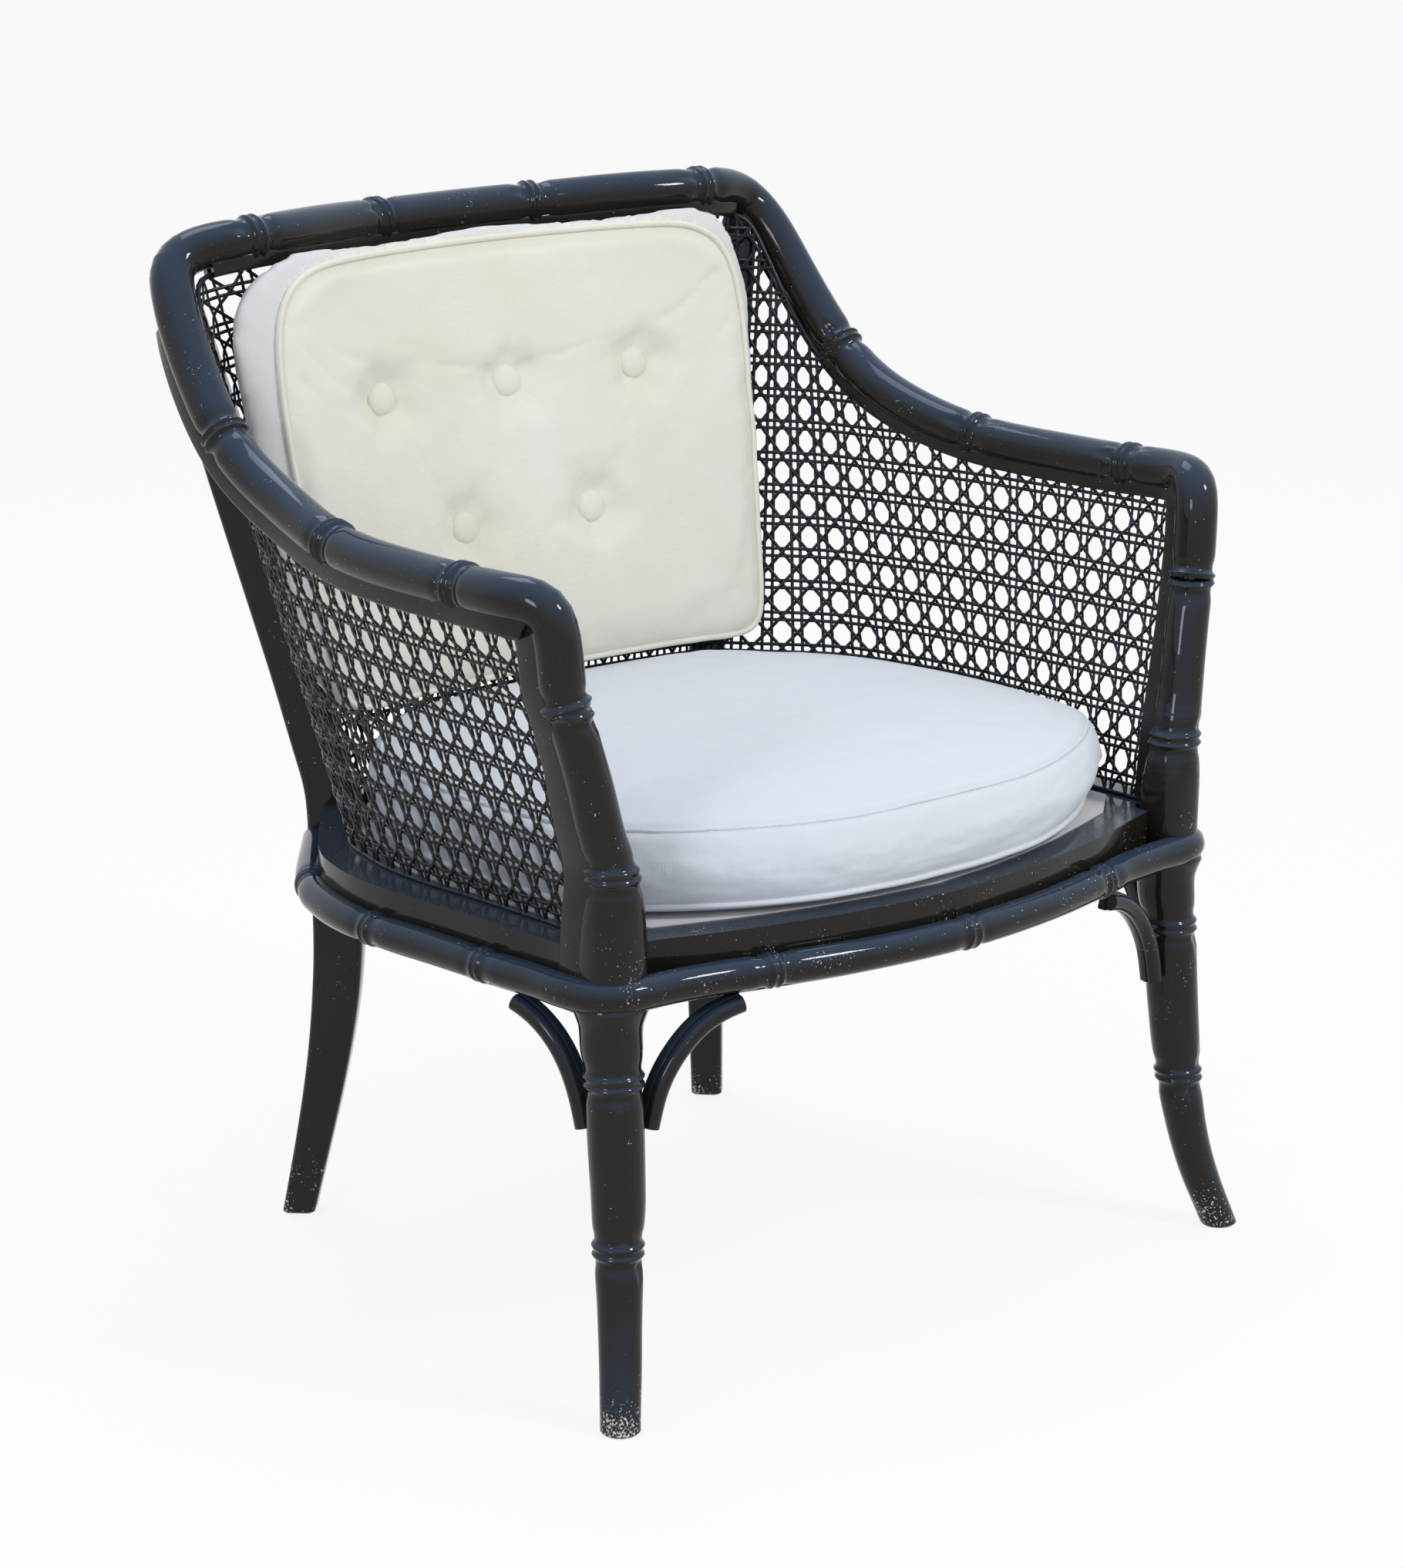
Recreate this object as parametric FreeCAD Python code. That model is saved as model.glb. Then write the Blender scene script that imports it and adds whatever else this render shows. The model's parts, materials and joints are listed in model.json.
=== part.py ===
import FreeCAD, Part
import math
import os

V = FreeCAD.Vector

# Millimetres. The right half is drawn and mirrored. Up is +Z, the front is -Y, and z = 0 is the floor.

# Round rail of the posts, arms and crest, with the lip that hides the edge of the cane.
RAIL_R = 16.5
LIP_NEAR = 3.0
LIP_FAR = 12.0
LIP_REACH_ARM = 24.5
LIP_REACH_POST = 27.0
RING_HEIGHT = 2.2
RING_PINCH = 1.6
KNUCKLE_R = RAIL_R + 1.2

# Heights that tie the pieces together.
SEAT_TOP_Z = 336.0
SEAT_RAIL_H = 46.0
SEAT_RAIL_W = 52.0
REAR_RAIL_W = 45.0
MOULDING_Z = 305.0
MOULDING_R = 13.0
MOULDING_RING = 0.9
POST_JOINT_Z = 509.0
LOWER_RING_Z = 391.0
LEG_RINGS_Z = (122.5, 243.0)
BLOCK_CORNER_R = 14.0

# Rear leg, a rectangle with its long side on the diagonal of the plan, and the room left around
# the rails that rest on its top. The lips of the rails stop short of it.
REAR_WIDE = 29.5
REAR_CORNER_R = 5.0
REAR_FIT = 0.3
ARM_LIP_STOP = 46.0
CREST_LIP_START = 30.0
# Copes at the rear post's top: length of rail that each follows, and its reach before and after.
COPE_ARM = (42.0, 20.0, 25.0)
COPE_CREST = (16.0, 40.0, 30.0)

# Cane sheet and the cord that wedges it into its groove.
CANE_T = 3.0
CANE_IN = 3.6
CANE_TURN = 11.0
CANE_CORNER_TURN = 55.0
CANE_START = 7.0
CANE_STOP = 3.0
CREST_CANE_START = 16.0
CORD_R = 2.2
CLEAR = 0.3
# Cord on the post: height, and its clearance from the plain post, more beside the ring.
POST_CORD = ((384.0, 3.5), (400.0, 3.5), (420.0, 2.2), (445.0, 1.1), (475.0, 0.9), (509.0, 0.9), (530.0, 0.9), (545.0, 0.9))
CANE_HEAD_R = RAIL_R + RING_HEIGHT + CLEAR

# Deck, fixings and blocks.
DECK_T = 8.0
DECK_INSET = 9.0
CLOTH_T = 1.2
DOWEL_R = 4.0
SCREW_R = 2.0
SCREW_HEAD_R = 3.5
SCREW_HEAD_H = 2.5
SCREW_L = 24.0
BLOCK_Z = SEAT_TOP_Z - 40.0
BLOCK_H = 28.0

# Cushions.
CUSHION_SKIN = 3.0
PIPING_R = 2.4
SEAT_PIPING_R = 2.4
BUTTON_R = 13.0
BUTTON_DOME = 6.0
BUTTON_RIM = 3.0
REAR_BUTTON_R = 9.0
REAR_BUTTON_T = 2.0
REAR_BUTTON_OUT = 1.5
TWINE_R = 1.0
TUFT_R = 44.0
TUFT_DEPTH = 13.0
BACK_LEAN = 0.2
BACK_CORNER = 8.0
REAR_BOW = 0.42

# Front leg and post: height, x, y of the centre and radius, with the block at the seat in between.
LEG_LINE = [
    (0.0, 308.2, -251.8, 14.2), (20.0, 302.8, -245.5, 14.6), (40.0, 297.5, -239.5, 15.1),
    (70.0, 291.7, -232.3, 15.6), (100.0, 287.8, -227.2, 16.8), (122.5, 286.1, -224.1, 17.4),
    (150.0, 283.9, -222.1, 19.0), (180.0, 282.7, -219.5, 19.8), (210.0, 281.9, -217.1, 20.4),
    (243.0, 281.1, -214.5, 20.3), (266.0, 280.4, -211.5, 22.0), (292.0, 280.0, -210.5, 22.3),
    (330.0, 279.6, -211.5, 22.3), (362.0, 280.2, -213.6, 21.2), (391.0, 281.8, -214.7, 18.6),
    (420.0, 289.0, -211.6, 17.2), (458.0, 296.8, -208.0, 16.7), (509.0, 309.6, -201.8, RAIL_R),
    (527.0, 312.8, -200.3, RAIL_R), (545.0, 314.8, -199.2, RAIL_R),
]
BLOCK_RAMP = (250.0, 286.0, 348.0, 384.0)

# Arm rail from inside the post's upper ring, round the elbow and up to the corner of the back.
ARM_LINE = [
    (303.4, -204.8, 484.0), (309.6, -201.8, 509.0), (312.8, -200.3, 527.0), (316.4, -198.0, 563.0),
    (321.6, -190.2, 578.6), (329.8, -169.0, 582.9), (330.0, -116.3, 581.7), (327.7, -37.7, 580.9),
    (320.1, 42.7, 585.0), (310.6, 116.9, 602.3), (308.3, 189.1, 639.8), (301.3, 252.3, 713.0),
    (290.5, 279.5, 750.0),
]
ARM_RINGS = ((309.6, -201.8, 509.0), (330.0, -116.3, 581.7), (320.1, 42.7, 585.0), (308.3, 189.1, 639.8))

# Crest rail, right half from the corner to the middle.
CREST_LINE = [
    (284.6, 283.6, 757.6), (268.2, 281.0, 761.9), (223.0, 271.8, 768.4), (178.0, 280.5, 768.9),
    (135.9, 294.3, 767.8), (76.4, 310.3, 765.5), (0.0, 315.5, 765.0),
]
CREST_RINGS = ((223.0, 271.8, 768.4), (76.4, 310.3, 765.5))

# Rear leg and post: height, x, y of the centre and depth along the diagonal.
REAR_LINE = [
    (0.0, 215.0, 250.0, 25.5), (60.0, 205.7, 240.7, 28.5), (120.0, 197.3, 232.3, 32.5),
    (180.0, 191.4, 226.4, 37.0), (240.0, 189.2, 224.2, 39.0), (300.0, 190.5, 225.5, 39.0),
    (343.0, 192.3, 227.3, 38.0), (374.0, 198.0, 232.4, 37.0), (429.0, 210.4, 240.4, 36.0),
    (481.0, 222.6, 248.2, 36.0), (594.0, 249.6, 265.2, 36.0), (670.0, 267.4, 277.2, 35.0),
    (745.0, 285.5, 290.5, 33.0),
]

# Seat rails: outer faces seen from above.
SIDE_FACE = [
    (299.6, -200.0), (299.6, -186.0), (299.0, -162.0), (302.0, -122.0), (304.0, -81.0),
    (306.0, -38.0), (308.5, 3.0), (305.0, 56.0), (294.6, 95.0), (288.5, 110.0), (269.5, 140.0),
    (240.0, 178.0), (215.0, 208.0), (200.0, 226.0),
]
FRONT_FACE = [
    (0.0, -266.5), (60.0, -262.0), (111.0, -254.0), (145.0, -246.0), (177.0, -238.0),
    (219.0, -224.0), (268.0, -208.5),
]
REAR_FACE = [(0.0, 250.0), (60.0, 248.0), (120.0, 242.0), (190.0, 228.0)]

# Moulding: how far its centre stands outside the faces, and where its rings are.
SIDE_MOULDING_OUT = 5.5
FRONT_MOULDING_OUT = 8.0
MOULDING_CORNER = [
    (195.0, -240.5), (219.0, -235.5), (245.0, -231.5), (268.0, -229.0), (284.0, -225.0), (294.5, -216.5),
    (301.0, -203.0), (304.3, -186.0),
]
CORNER_SPLIT = 5
SIDE_MOULDING_RINGS = ((309.0, -108.0), (314.0, 13.0), (281.0, 132.0))
FRONT_MOULDING_RINGS = ((0.0, -274.5), (166.0, -248.5))

# Foot of the cane, seen from above, from the front post to the middle of the back.
CANE_FOOT = [
    (274.5, -186.5), (274.3, -160.0), (274.2, -131.0), (275.0, -89.0), (276.3, -46.0), (278.5, -4.0),
    (275.7, 47.0), (267.7, 82.0), (259.4, 109.0), (243.0, 135.0), (221.0, 160.0), (198.0, 186.0),
    (177.0, 207.0), (150.0, 216.0), (112.0, 220.5), (50.0, 224.0), (0.0, 225.0),
]
CANE_POST_FOOT = 12
CANE_ARM_ROWS = 23
DECK_FRONT = [(0.0, -245.0), (60.0, -239.0), (107.0, -230.0), (148.0, -219.0), (193.0, -204.0), (228.0, -192.0)]

# Braces: centre-line from the leg up to the underside of the moulding, and their end blocks.
BRACE_R = 7.0
FRONT_BRACE = [
    (256.0, -224.8, 204.0), (248.5, -226.6, 231.0), (237.0, -229.4, 251.5), (220.5, -233.3, 269.0),
    (202.0, -237.7, 279.5), (186.0, -241.5, 288.0),
]
SIDE_BRACE = [
    (291.0, -193.0, 204.0), (292.0, -187.0, 226.0), (293.8, -178.0, 247.0), (296.8, -163.5, 266.0),
    (300.3, -146.0, 278.5), (303.0, -133.0, 288.0),
]
BRACE_BLOCK = (18.0, 20.0, 26.0)
BRACE_HEAD = (26.0, 20.0, 12.0)

# Seat cushion: plan of the seam, right half, as the ends and middles of its arcs.
SEAT_PLAN = [
    (0.0, -253.0), (56.0, -251.5), (105.0, -244.0), (178.0, -213.0), (236.0, -170.0), (253.0, -143.0),
    (259.0, -108.0), (263.0, -30.0), (254.0, 48.0), (236.0, 106.0), (200.0, 152.0), (162.0, 187.0),
    (108.0, 205.0), (56.0, 209.5), (0.0, 211.0),
]
SEAT_MIDDLE_Y = -20.0
SEAT_FOOT_Z = 338.6
SEAT_SLICES = [
    (0.0, 0.950), (2.5, 0.972), (5.5, 0.979), (9.0, 0.983), (16.0, 1.003), (36.0, 1.034),
    (54.0, 1.022), (63.0, 1.006), (66.5, 0.992), (70.0, 0.958), (74.0, 0.885), (77.5, 0.745),
    (80.0, 0.530), (81.5, 0.260),
]
SEAT_PIPING_UP = 5.5
SEAT_PIPING_OUT = 0.9925

# Back cushion: height, half widths of the front, middle and rear, then the depths (y) of the
# front at its side and middle and of the rear at its side and middle.
BACK_SLICES = [
    (412.2, 192.0, 193.0, 183.0, 182.0, 200.0, 200.0, 222.0),
    (417.8, 206.0, 209.0, 194.0, 177.5, 195.5, 205.0, 228.0),
    (428.0, 212.0, 217.0, 199.0, 176.0, 192.0, 208.0, 232.0),
    (446.0, 215.0, 221.0, 201.0, 178.7, 191.0, 212.0, 237.0),
    (490.0, 220.0, 227.0, 206.0, 187.5, 200.0, 221.0, 246.0),
    (540.0, 224.0, 233.0, 214.0, 197.5, 212.0, 228.0, 256.0),
    (590.0, 228.0, 238.0, 222.0, 207.5, 224.0, 236.5, 266.0),
    (640.0, 230.0, 242.0, 233.0, 217.5, 235.0, 246.5, 277.0),
    (680.0, 229.0, 245.0, 239.0, 225.0, 244.0, 251.5, 285.0),
    (708.0, 224.0, 242.0, 239.0, 230.0, 251.0, 253.5, 287.5),
    (728.0, 211.0, 231.0, 230.0, 233.5, 256.0, 254.5, 288.0),
    (739.0, 192.0, 211.0, 214.0, 237.0, 259.5, 255.5, 287.5),
    (745.0, 172.0, 189.0, 194.0, 241.0, 262.5, 257.0, 287.0),
    (751.0, 140.0, 147.0, 149.0, 251.0, 269.0, 263.0, 286.0),
    (756.0, 95.0, 99.0, 101.0, 262.0, 274.0, 270.0, 284.5),
]
BACK_PIPING = [
    (0.0, 194.6, 414.8), (110.0, 188.6, 414.8), (175.0, 179.8, 415.0), (197.0, 176.0, 416.6),
    (209.5, 174.5, 422.1), (214.6, 175.0, 432.0), (217.4, 178.2, 447.0), (222.2, 187.6, 490.0), (226.2, 197.6, 540.0),
    (230.2, 208.2, 590.0), (232.2, 218.2, 640.0), (231.2, 225.6, 680.0), (226.4, 231.2, 708.0),
    (214.6, 234.6, 730.0), (195.0, 238.0, 742.8), (168.0, 242.4, 748.4), (100.0, 254.8, 750.4),
    (0.0, 261.6, 750.6),
]
UPPER_BUTTONS = ((-127.0, 650.0), (0.0, 650.0), (127.0, 650.0))
LOWER_BUTTONS = ((-64.0, 540.0), (64.0, 540.0))

# The whole chair is moved in Y so that its box is centred on the origin.
FRONT_END_Y = FRONT_FACE[0][1] - FRONT_MOULDING_OUT - MOULDING_R - RING_HEIGHT
REAR_END_Y = CREST_LINE[-1][1] + RAIL_R
SHIFT_Y = -(FRONT_END_Y + REAR_END_Y) / 2.0


def vec(point):
    """Vector from a tuple of three numbers."""
    return V(point[0], point[1], point[2])


def flip(point):
    """Point mirrored to the other side of the chair."""
    return V(-point.x, point.y, point.z)


def unit(v):
    """The same direction with length one."""
    return V(v.x / v.Length, v.y / v.Length, v.z / v.Length)


def smooth_line(points):
    """Smooth open curve through the points, even where their spacing changes."""
    at = [0.0]
    for a, b in zip(points, points[1:]):
        at.append(at[-1] + math.sqrt((b - a).Length))
    curve = Part.BSplineCurve()
    curve.interpolate(Points=points, Parameters=at)
    return curve.toShape()


def along(edge, length):
    """Point and direction at a length along the edge."""
    u = edge.getParameterByLength(min(max(length, 0.0), edge.Length))
    return edge.valueAt(u), unit(edge.tangentAt(u))


def length_at(edge, point):
    """Length along the edge of the place nearest to the point."""
    u = edge.Curve.parameter(point)
    return edge.Curve.length(edge.FirstParameter, max(u, edge.FirstParameter + 1e-6))


def round_section(centre, u, v, radius):
    """Round section as four quarter arcs."""
    points = []
    for k in range(8):
        a = math.pi * k / 4.0
        points.append(centre + u * (radius * math.cos(a)) + v * (radius * math.sin(a)))
    arcs = [Part.Arc(points[2 * k], points[2 * k + 1], points[(2 * k + 2) % 8]) for k in range(4)]
    return Part.Wire([arc.toShape() for arc in arcs])


def block_section(x, y, z, half, corner):
    """Level section between round and square: four lines and four quarter arcs."""
    flat = max(half - corner, 0.25)
    half = max(half, corner + 0.25)
    bend = corner * math.sqrt(0.5)
    edges = []
    for k in range(4):
        a = math.pi * k / 2.0
        u = V(math.cos(a), math.sin(a), 0.0)
        v = V(-math.sin(a), math.cos(a), 0.0)
        centre = V(x, y, z)
        start = centre + u * half - v * flat
        end = centre + u * half + v * flat
        middle = centre + u * (flat + bend) + v * (flat + bend)
        after = centre + u * flat + v * half
        edges.append(Part.LineSegment(start, end).toShape())
        edges.append(Part.Arc(end, middle, after).toShape())
    return Part.Wire(edges)


RING_SHAPE = ((-20.0, 0.0), (-11.0, -0.45), (-6.8, -1.0), (-3.4, 0.55), (0.0, 1.0), (3.4, 0.55), (6.8, -1.0),
              (11.0, -0.45), (20.0, 0.0))


def ring_change(offset, scale):
    """How far a ring lifts or pinches the surface at an offset from its middle."""
    if abs(offset) >= RING_SHAPE[-1][0]:
        return 0.0
    for (a, fa), (b, fb) in zip(RING_SHAPE, RING_SHAPE[1:]):
        if a <= offset <= b:
            part = fa + (fb - fa) * (offset - a) / (b - a)
            return scale * part * (RING_HEIGHT if part > 0.0 else RING_PINCH)
    return 0.0


def stations(length, rings, step):
    """Lengths at which a turned rail gets a section, close together at its rings."""
    places = []
    for ring in rings:
        places += [ring + offset for offset, _ in RING_SHAPE]
    count = max(int(length / step), 2)
    for k in range(count + 1):
        s = length * k / count
        if all(abs(s - ring) > RING_SHAPE[-1][0] + step * 0.3 for ring in rings):
            places.append(s)
    places = sorted(s for s in places if -1e-6 <= s <= length + 1e-6)
    if length - places[-1] > 1.0:
        places.append(length)
    if places[0] > 1.0:
        places.insert(0, 0.0)
    return places


def turned_rail(edge, radius, rings, step, ring_scale=1.0, dome=0.0):
    """Round rail along an edge with its rings, and a rounded end if dome is given."""
    total = edge.Length
    sections = []
    side = None
    for s in stations(total, rings, step):
        centre, t = along(edge, s)
        if side is None:
            side = V(0.0, 0.0, 1.0) if abs(t.z) < 0.8 else V(1.0, 0.0, 0.0)
        side = unit(side - t * side.dot(t))
        up = t.cross(side)
        r = radius + sum(ring_change(s - ring, ring_scale) for ring in rings)
        if dome:
            r += (dome - radius) * max(0.0, 1.0 - (total - s) / 26.0)
        sections.append(round_section(centre, side, up, r))
    if dome:
        centre, t = along(edge, total)
        up = t.cross(side)
        for part in (0.35, 0.65, 0.87, 0.975):
            r = dome * math.sqrt(1.0 - part * part)
            sections.append(round_section(centre + t * (dome * part), side, up, r))
    return Part.makeLoft(sections, True, True)


def strip(quads):
    """Solid through a row of four-cornered sections."""
    wires = [Part.makePolygon(q + [q[0]]) for q in quads]
    return Part.makeLoft(wires, True, True)


def plain_tube(points, radius, step=12.0):
    """Smooth round cord through the points."""
    edge = smooth_line(points)
    return turned_rail(edge, radius, (), step)


def closed_cord(points, radius):
    """Round cord on a closed path, as short straight lengths."""
    count = len(points)
    middle = V(0.0, 0.0, 0.0)
    for p in points:
        middle = middle + p * (1.0 / count)
    sections = []
    for k, p in enumerate(points):
        t = unit(points[(k + 1) % count] - points[k - 1])
        side = p - middle
        side = unit(side - t * side.dot(t))
        sections.append(round_section(p, side, t.cross(side), radius))
    return Part.makeLoft(sections, True, True, True)


def closed_path(points, step):
    """Evenly spaced points on a smooth closed line through the given ones."""
    curve = Part.BSplineCurve()
    curve.interpolate(Points=points, PeriodicFlag=True)
    edge = curve.toShape()
    return edge.discretize(Number=int(edge.Length / step) + 1)[:-1]


def offset_plan(points, distance):
    """Plan points moved to the left of their direction of travel."""
    moved = []
    last = len(points) - 1
    for i, (x, y) in enumerate(points):
        x0, y0 = points[max(i - 1, 0)]
        x1, y1 = points[min(i + 1, last)]
        n = math.hypot(x1 - x0, y1 - y0)
        moved.append((x - (y1 - y0) / n * distance, y + (x1 - x0) / n * distance))
    return moved


def both_halves(points):
    """Plan points of the right half, middle first, completed with the left half."""
    return [(-x, y) for x, y in reversed(points[1:])] + list(points)


def curved_board(outer, inner, low, high):
    """Board with two curved long faces and straight ends, between two heights."""
    a = smooth_line([V(x, y, low) for x, y in outer])
    b = smooth_line([V(x, y, low) for x, y in inner])
    ends = [Part.LineSegment(V(outer[-1][0], outer[-1][1], low), V(inner[-1][0], inner[-1][1], low)),
            Part.LineSegment(V(inner[0][0], inner[0][1], low), V(outer[0][0], outer[0][1], low))]
    wire = Part.Wire(Part.__sortEdges__([a, ends[0].toShape(), b, ends[1].toShape()]))
    return Part.Face(wire).extrude(V(0.0, 0.0, high - low))


def prism(points, low, high):
    """Upright prism on a plan of straight lines."""
    wire = Part.makePolygon([V(x, y, low) for x, y in points + [points[0]]])
    return Part.Face(wire).extrude(V(0.0, 0.0, high - low))


def mirror(shape):
    """The same shape on the other side of the chair."""
    return shape.mirror(V(0.0, 0.0, 0.0), V(1.0, 0.0, 0.0))


def rod(start, end, radius):
    """Round rod between two points."""
    d = end - start
    return Part.makeCylinder(radius, d.Length, start, d)


def cut_all(shape, tools):
    """Shape with every tool taken away."""
    for tool in tools:
        shape = shape.cut(tool)
    return shape


def main_solid(shape):
    """The largest solid of a result, without stray crumbs."""
    solids = sorted(shape.Solids, key=lambda s: s.Volume)
    return solids[-1]


def leg_at(z):
    """Centre and radius of the front leg at a height."""
    for (z0, x0, y0, r0), (z1, x1, y1, r1) in zip(LEG_LINE, LEG_LINE[1:]):
        if z0 <= z <= z1:
            k = (z - z0) / (z1 - z0)
            return x0 + (x1 - x0) * k, y0 + (y1 - y0) * k, r0 + (r1 - r0) * k
    return LEG_LINE[-1][1:]


LEG_AXIS = smooth_line([V(x, y, z) for z, x, y, _ in LEG_LINE])


def leg_centre(z):
    """Point of the leg's smooth centre-line at a height."""
    low, high = LEG_AXIS.FirstParameter, LEG_AXIS.LastParameter
    for _ in range(40):
        mid = (low + high) / 2.0
        if LEG_AXIS.valueAt(mid).z < z:
            low = mid
        else:
            high = mid
    return LEG_AXIS.valueAt((low + high) / 2.0)


def squareness(z):
    """Zero where the leg is round and one where it is the block at the seat."""
    a, b, c, d = BLOCK_RAMP
    if z <= a or z >= d:
        return 0.0
    if z < b:
        k = (z - a) / (b - a)
    elif z > c:
        k = (d - z) / (d - c)
    else:
        return 1.0
    return k * k * (3.0 - 2.0 * k)


def make_front_leg():
    """Turned leg and post from the floor to the joint at the upper ring, right side."""
    rings = list(LEG_RINGS_Z) + [LOWER_RING_Z, POST_JOINT_Z]
    sections = []
    top = POST_JOINT_Z
    for z in stations(top, rings, 18.0):
        if z > top + 1e-6:
            continue
        centre = leg_centre(z)
        r = leg_at(z)[2]
        for ring in rings:
            r += ring_change(z - ring, 1.0)
        k = squareness(z)
        corner = r * (1.0 - k) + BLOCK_CORNER_R * k
        sections.append(block_section(centre.x, centre.y, z, r, min(corner, r - 0.25)))
    leg = Part.makeLoft(sections, True, True)
    quads = []
    for z in (358.0, 380.0, 410.0, 440.0, 475.0, top):
        c = leg_centre(z)
        quads.append(lip_quad_level(c, z))
    return leg.fuse(strip(quads))


def lip_quad_level(c, z):
    """Level section of the post's lip, behind the post on its outer half."""
    near = c.y + 9.0
    far = c.y + LIP_REACH_POST
    return [V(c.x + LIP_NEAR, near, z), V(c.x + LIP_FAR, near, z),
            V(c.x + LIP_FAR - 1.5, far, z), V(c.x + LIP_NEAR, far, z)]


def panel_frame(t, out_hint, hint=V(0.0, 0.0, -1.0)):
    """Directions across a rail: towards the cane below it, and out of the chair."""
    down = unit(hint - t * hint.dot(t))
    out = t.cross(down)
    if out.dot(out_hint) < 0.0:
        out = out * -1.0
    return unit(down), unit(out)


def lip_quad(point, down, out):
    """Section of the lip under an arm or the crest."""
    return [point + out * LIP_NEAR + down * 9.0, point + out * LIP_FAR + down * 9.0,
            point + out * (LIP_FAR - 1.5) + down * LIP_REACH_ARM, point + out * LIP_NEAR + down * LIP_REACH_ARM]


ARM_EDGE = smooth_line([vec(p) for p in ARM_LINE])
CREST_EDGE = smooth_line([vec(p) for p in CREST_LINE] + [flip(vec(p)) for p in reversed(CREST_LINE[:-1])])
ELBOW_S = length_at(ARM_EDGE, V(328.0, -178.0, 582.5))


def arm_out(point):
    """Direction out of the chair at a place on the arm."""
    return V(1.0, 0.0, 0.0) if point.y < 200.0 else V(1.0, 0.6, 0.0)


def make_arm_rail():
    """Arm rail of the right side from the post's ring to the corner of the back."""
    rings = [length_at(ARM_EDGE, vec(p)) for p in ARM_RINGS]
    rail = turned_rail(ARM_EDGE, RAIL_R, rings, 15.0, 1.0, KNUCKLE_R)
    quads = []
    for z in (496.0, 515.0, 535.0, 556.0, 574.0):
        c, _ = along(ARM_EDGE, length_at(ARM_EDGE, leg_centre(min(z, 540.0)) + V(0, 0, max(z - 540.0, 0.0))))
        c = V(c.x, min(c.y, -197.5), z)
        quads.append(lip_quad_level(c, z))
    rail = rail.fuse(strip(quads))
    quads = []
    s = ELBOW_S - 12.0
    end = ARM_EDGE.Length - ARM_LIP_STOP
    while s < end:
        p, t = along(ARM_EDGE, s)
        down, out = panel_frame(t, arm_out(p))
        quads.append(lip_quad(p, down, out))
        s += 26.0
    rail = rail.fuse(strip(quads))
    below = Part.makeBox(200.0, 200.0, 200.0, V(220.0, -300.0, POST_JOINT_Z - 200.0))
    return main_solid(rail.cut(below))


def make_crest_rail(arms):
    """Crest rail, coped to the rounded ends of the arm rails."""
    rings = [length_at(CREST_EDGE, vec(p)) for p in CREST_RINGS]
    rings += [CREST_EDGE.Length - s for s in rings]
    rail = turned_rail(CREST_EDGE, RAIL_R, sorted(rings), 16.0)
    quads = []
    count = 22
    for k in range(count + 1):
        s = CREST_LIP_START + (CREST_EDGE.Length - 2.0 * CREST_LIP_START) * k / count
        p, t = along(CREST_EDGE, s)
        down, out = panel_frame(t, V(0.0, 1.0, 0.0))
        quads.append(lip_quad(p, down, out))
    rail = rail.fuse(strip(quads))
    return main_solid(cut_all(rail, arms))


def rear_section(z, x, y, depth):
    """Level rectangle with rounded corners, turned to the diagonal."""
    u = V(math.sqrt(0.5), math.sqrt(0.5), 0.0)
    v = V(-math.sqrt(0.5), math.sqrt(0.5), 0.0)
    c = V(x, y, z)
    r = REAR_CORNER_R
    a = depth / 2.0
    b = REAR_WIDE / 2.0 - (1.9 * max(0.0, 1.0 - z / 120.0))
    k = r * (1.0 - math.sqrt(0.5))
    edges = []
    turns = ((u, v, a, b), (v, u * -1.0, b, a), (u * -1.0, v * -1.0, a, b), (v * -1.0, u, b, a))
    for m, n, half, other in turns:
        start = c + m * half - n * (other - r)
        end = c + m * half + n * (other - r)
        middle = c + m * (half - k) + n * (other - k)
        after = c + m * (half - r) + n * other
        edges.append(Part.LineSegment(start, end).toShape())
        edges.append(Part.Arc(end, middle, after).toShape())
    return Part.Wire(edges)


def rail_room(edge, start, end, before, after, radius):
    """Straight round tool that leaves room for a nearly straight stretch of rail."""
    first, last = along(edge, start)[0], along(edge, end)[0]
    t = unit(last - first)
    return rod(first - t * before, last + t * after, radius + REAR_FIT)


def make_rear_leg():
    """Sabre leg and raked post, right side, coped to the arm and the crest above it."""
    leg = Part.makeLoft([rear_section(*row) for row in REAR_LINE], True, True)
    total = ARM_EDGE.Length
    arm_room = rail_room(ARM_EDGE, total - COPE_ARM[0], total, COPE_ARM[1], COPE_ARM[2], KNUCKLE_R)
    crest_room = rail_room(CREST_EDGE, 0.0, COPE_CREST[0], COPE_CREST[1], COPE_CREST[2], RAIL_R)
    return main_solid(cut_all(leg, [arm_room, crest_room]))


def moulding_lines():
    """Centre-lines of the side and the front moulding, which meet at the front corner of the leg."""
    front = [p for p in offset_plan(both_halves(FRONT_FACE), -FRONT_MOULDING_OUT) if 0.0 <= p[0] < 180.0]
    side = [p for p in offset_plan(SIDE_FACE, -SIDE_MOULDING_OUT) if p[1] > -170.0]
    whole = smooth_line([V(x, y, MOULDING_Z) for x, y in front + MOULDING_CORNER + side])
    corner = V(MOULDING_CORNER[CORNER_SPLIT][0], MOULDING_CORNER[CORNER_SPLIT][1], MOULDING_Z)
    return whole, length_at(whole, corner)


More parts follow.
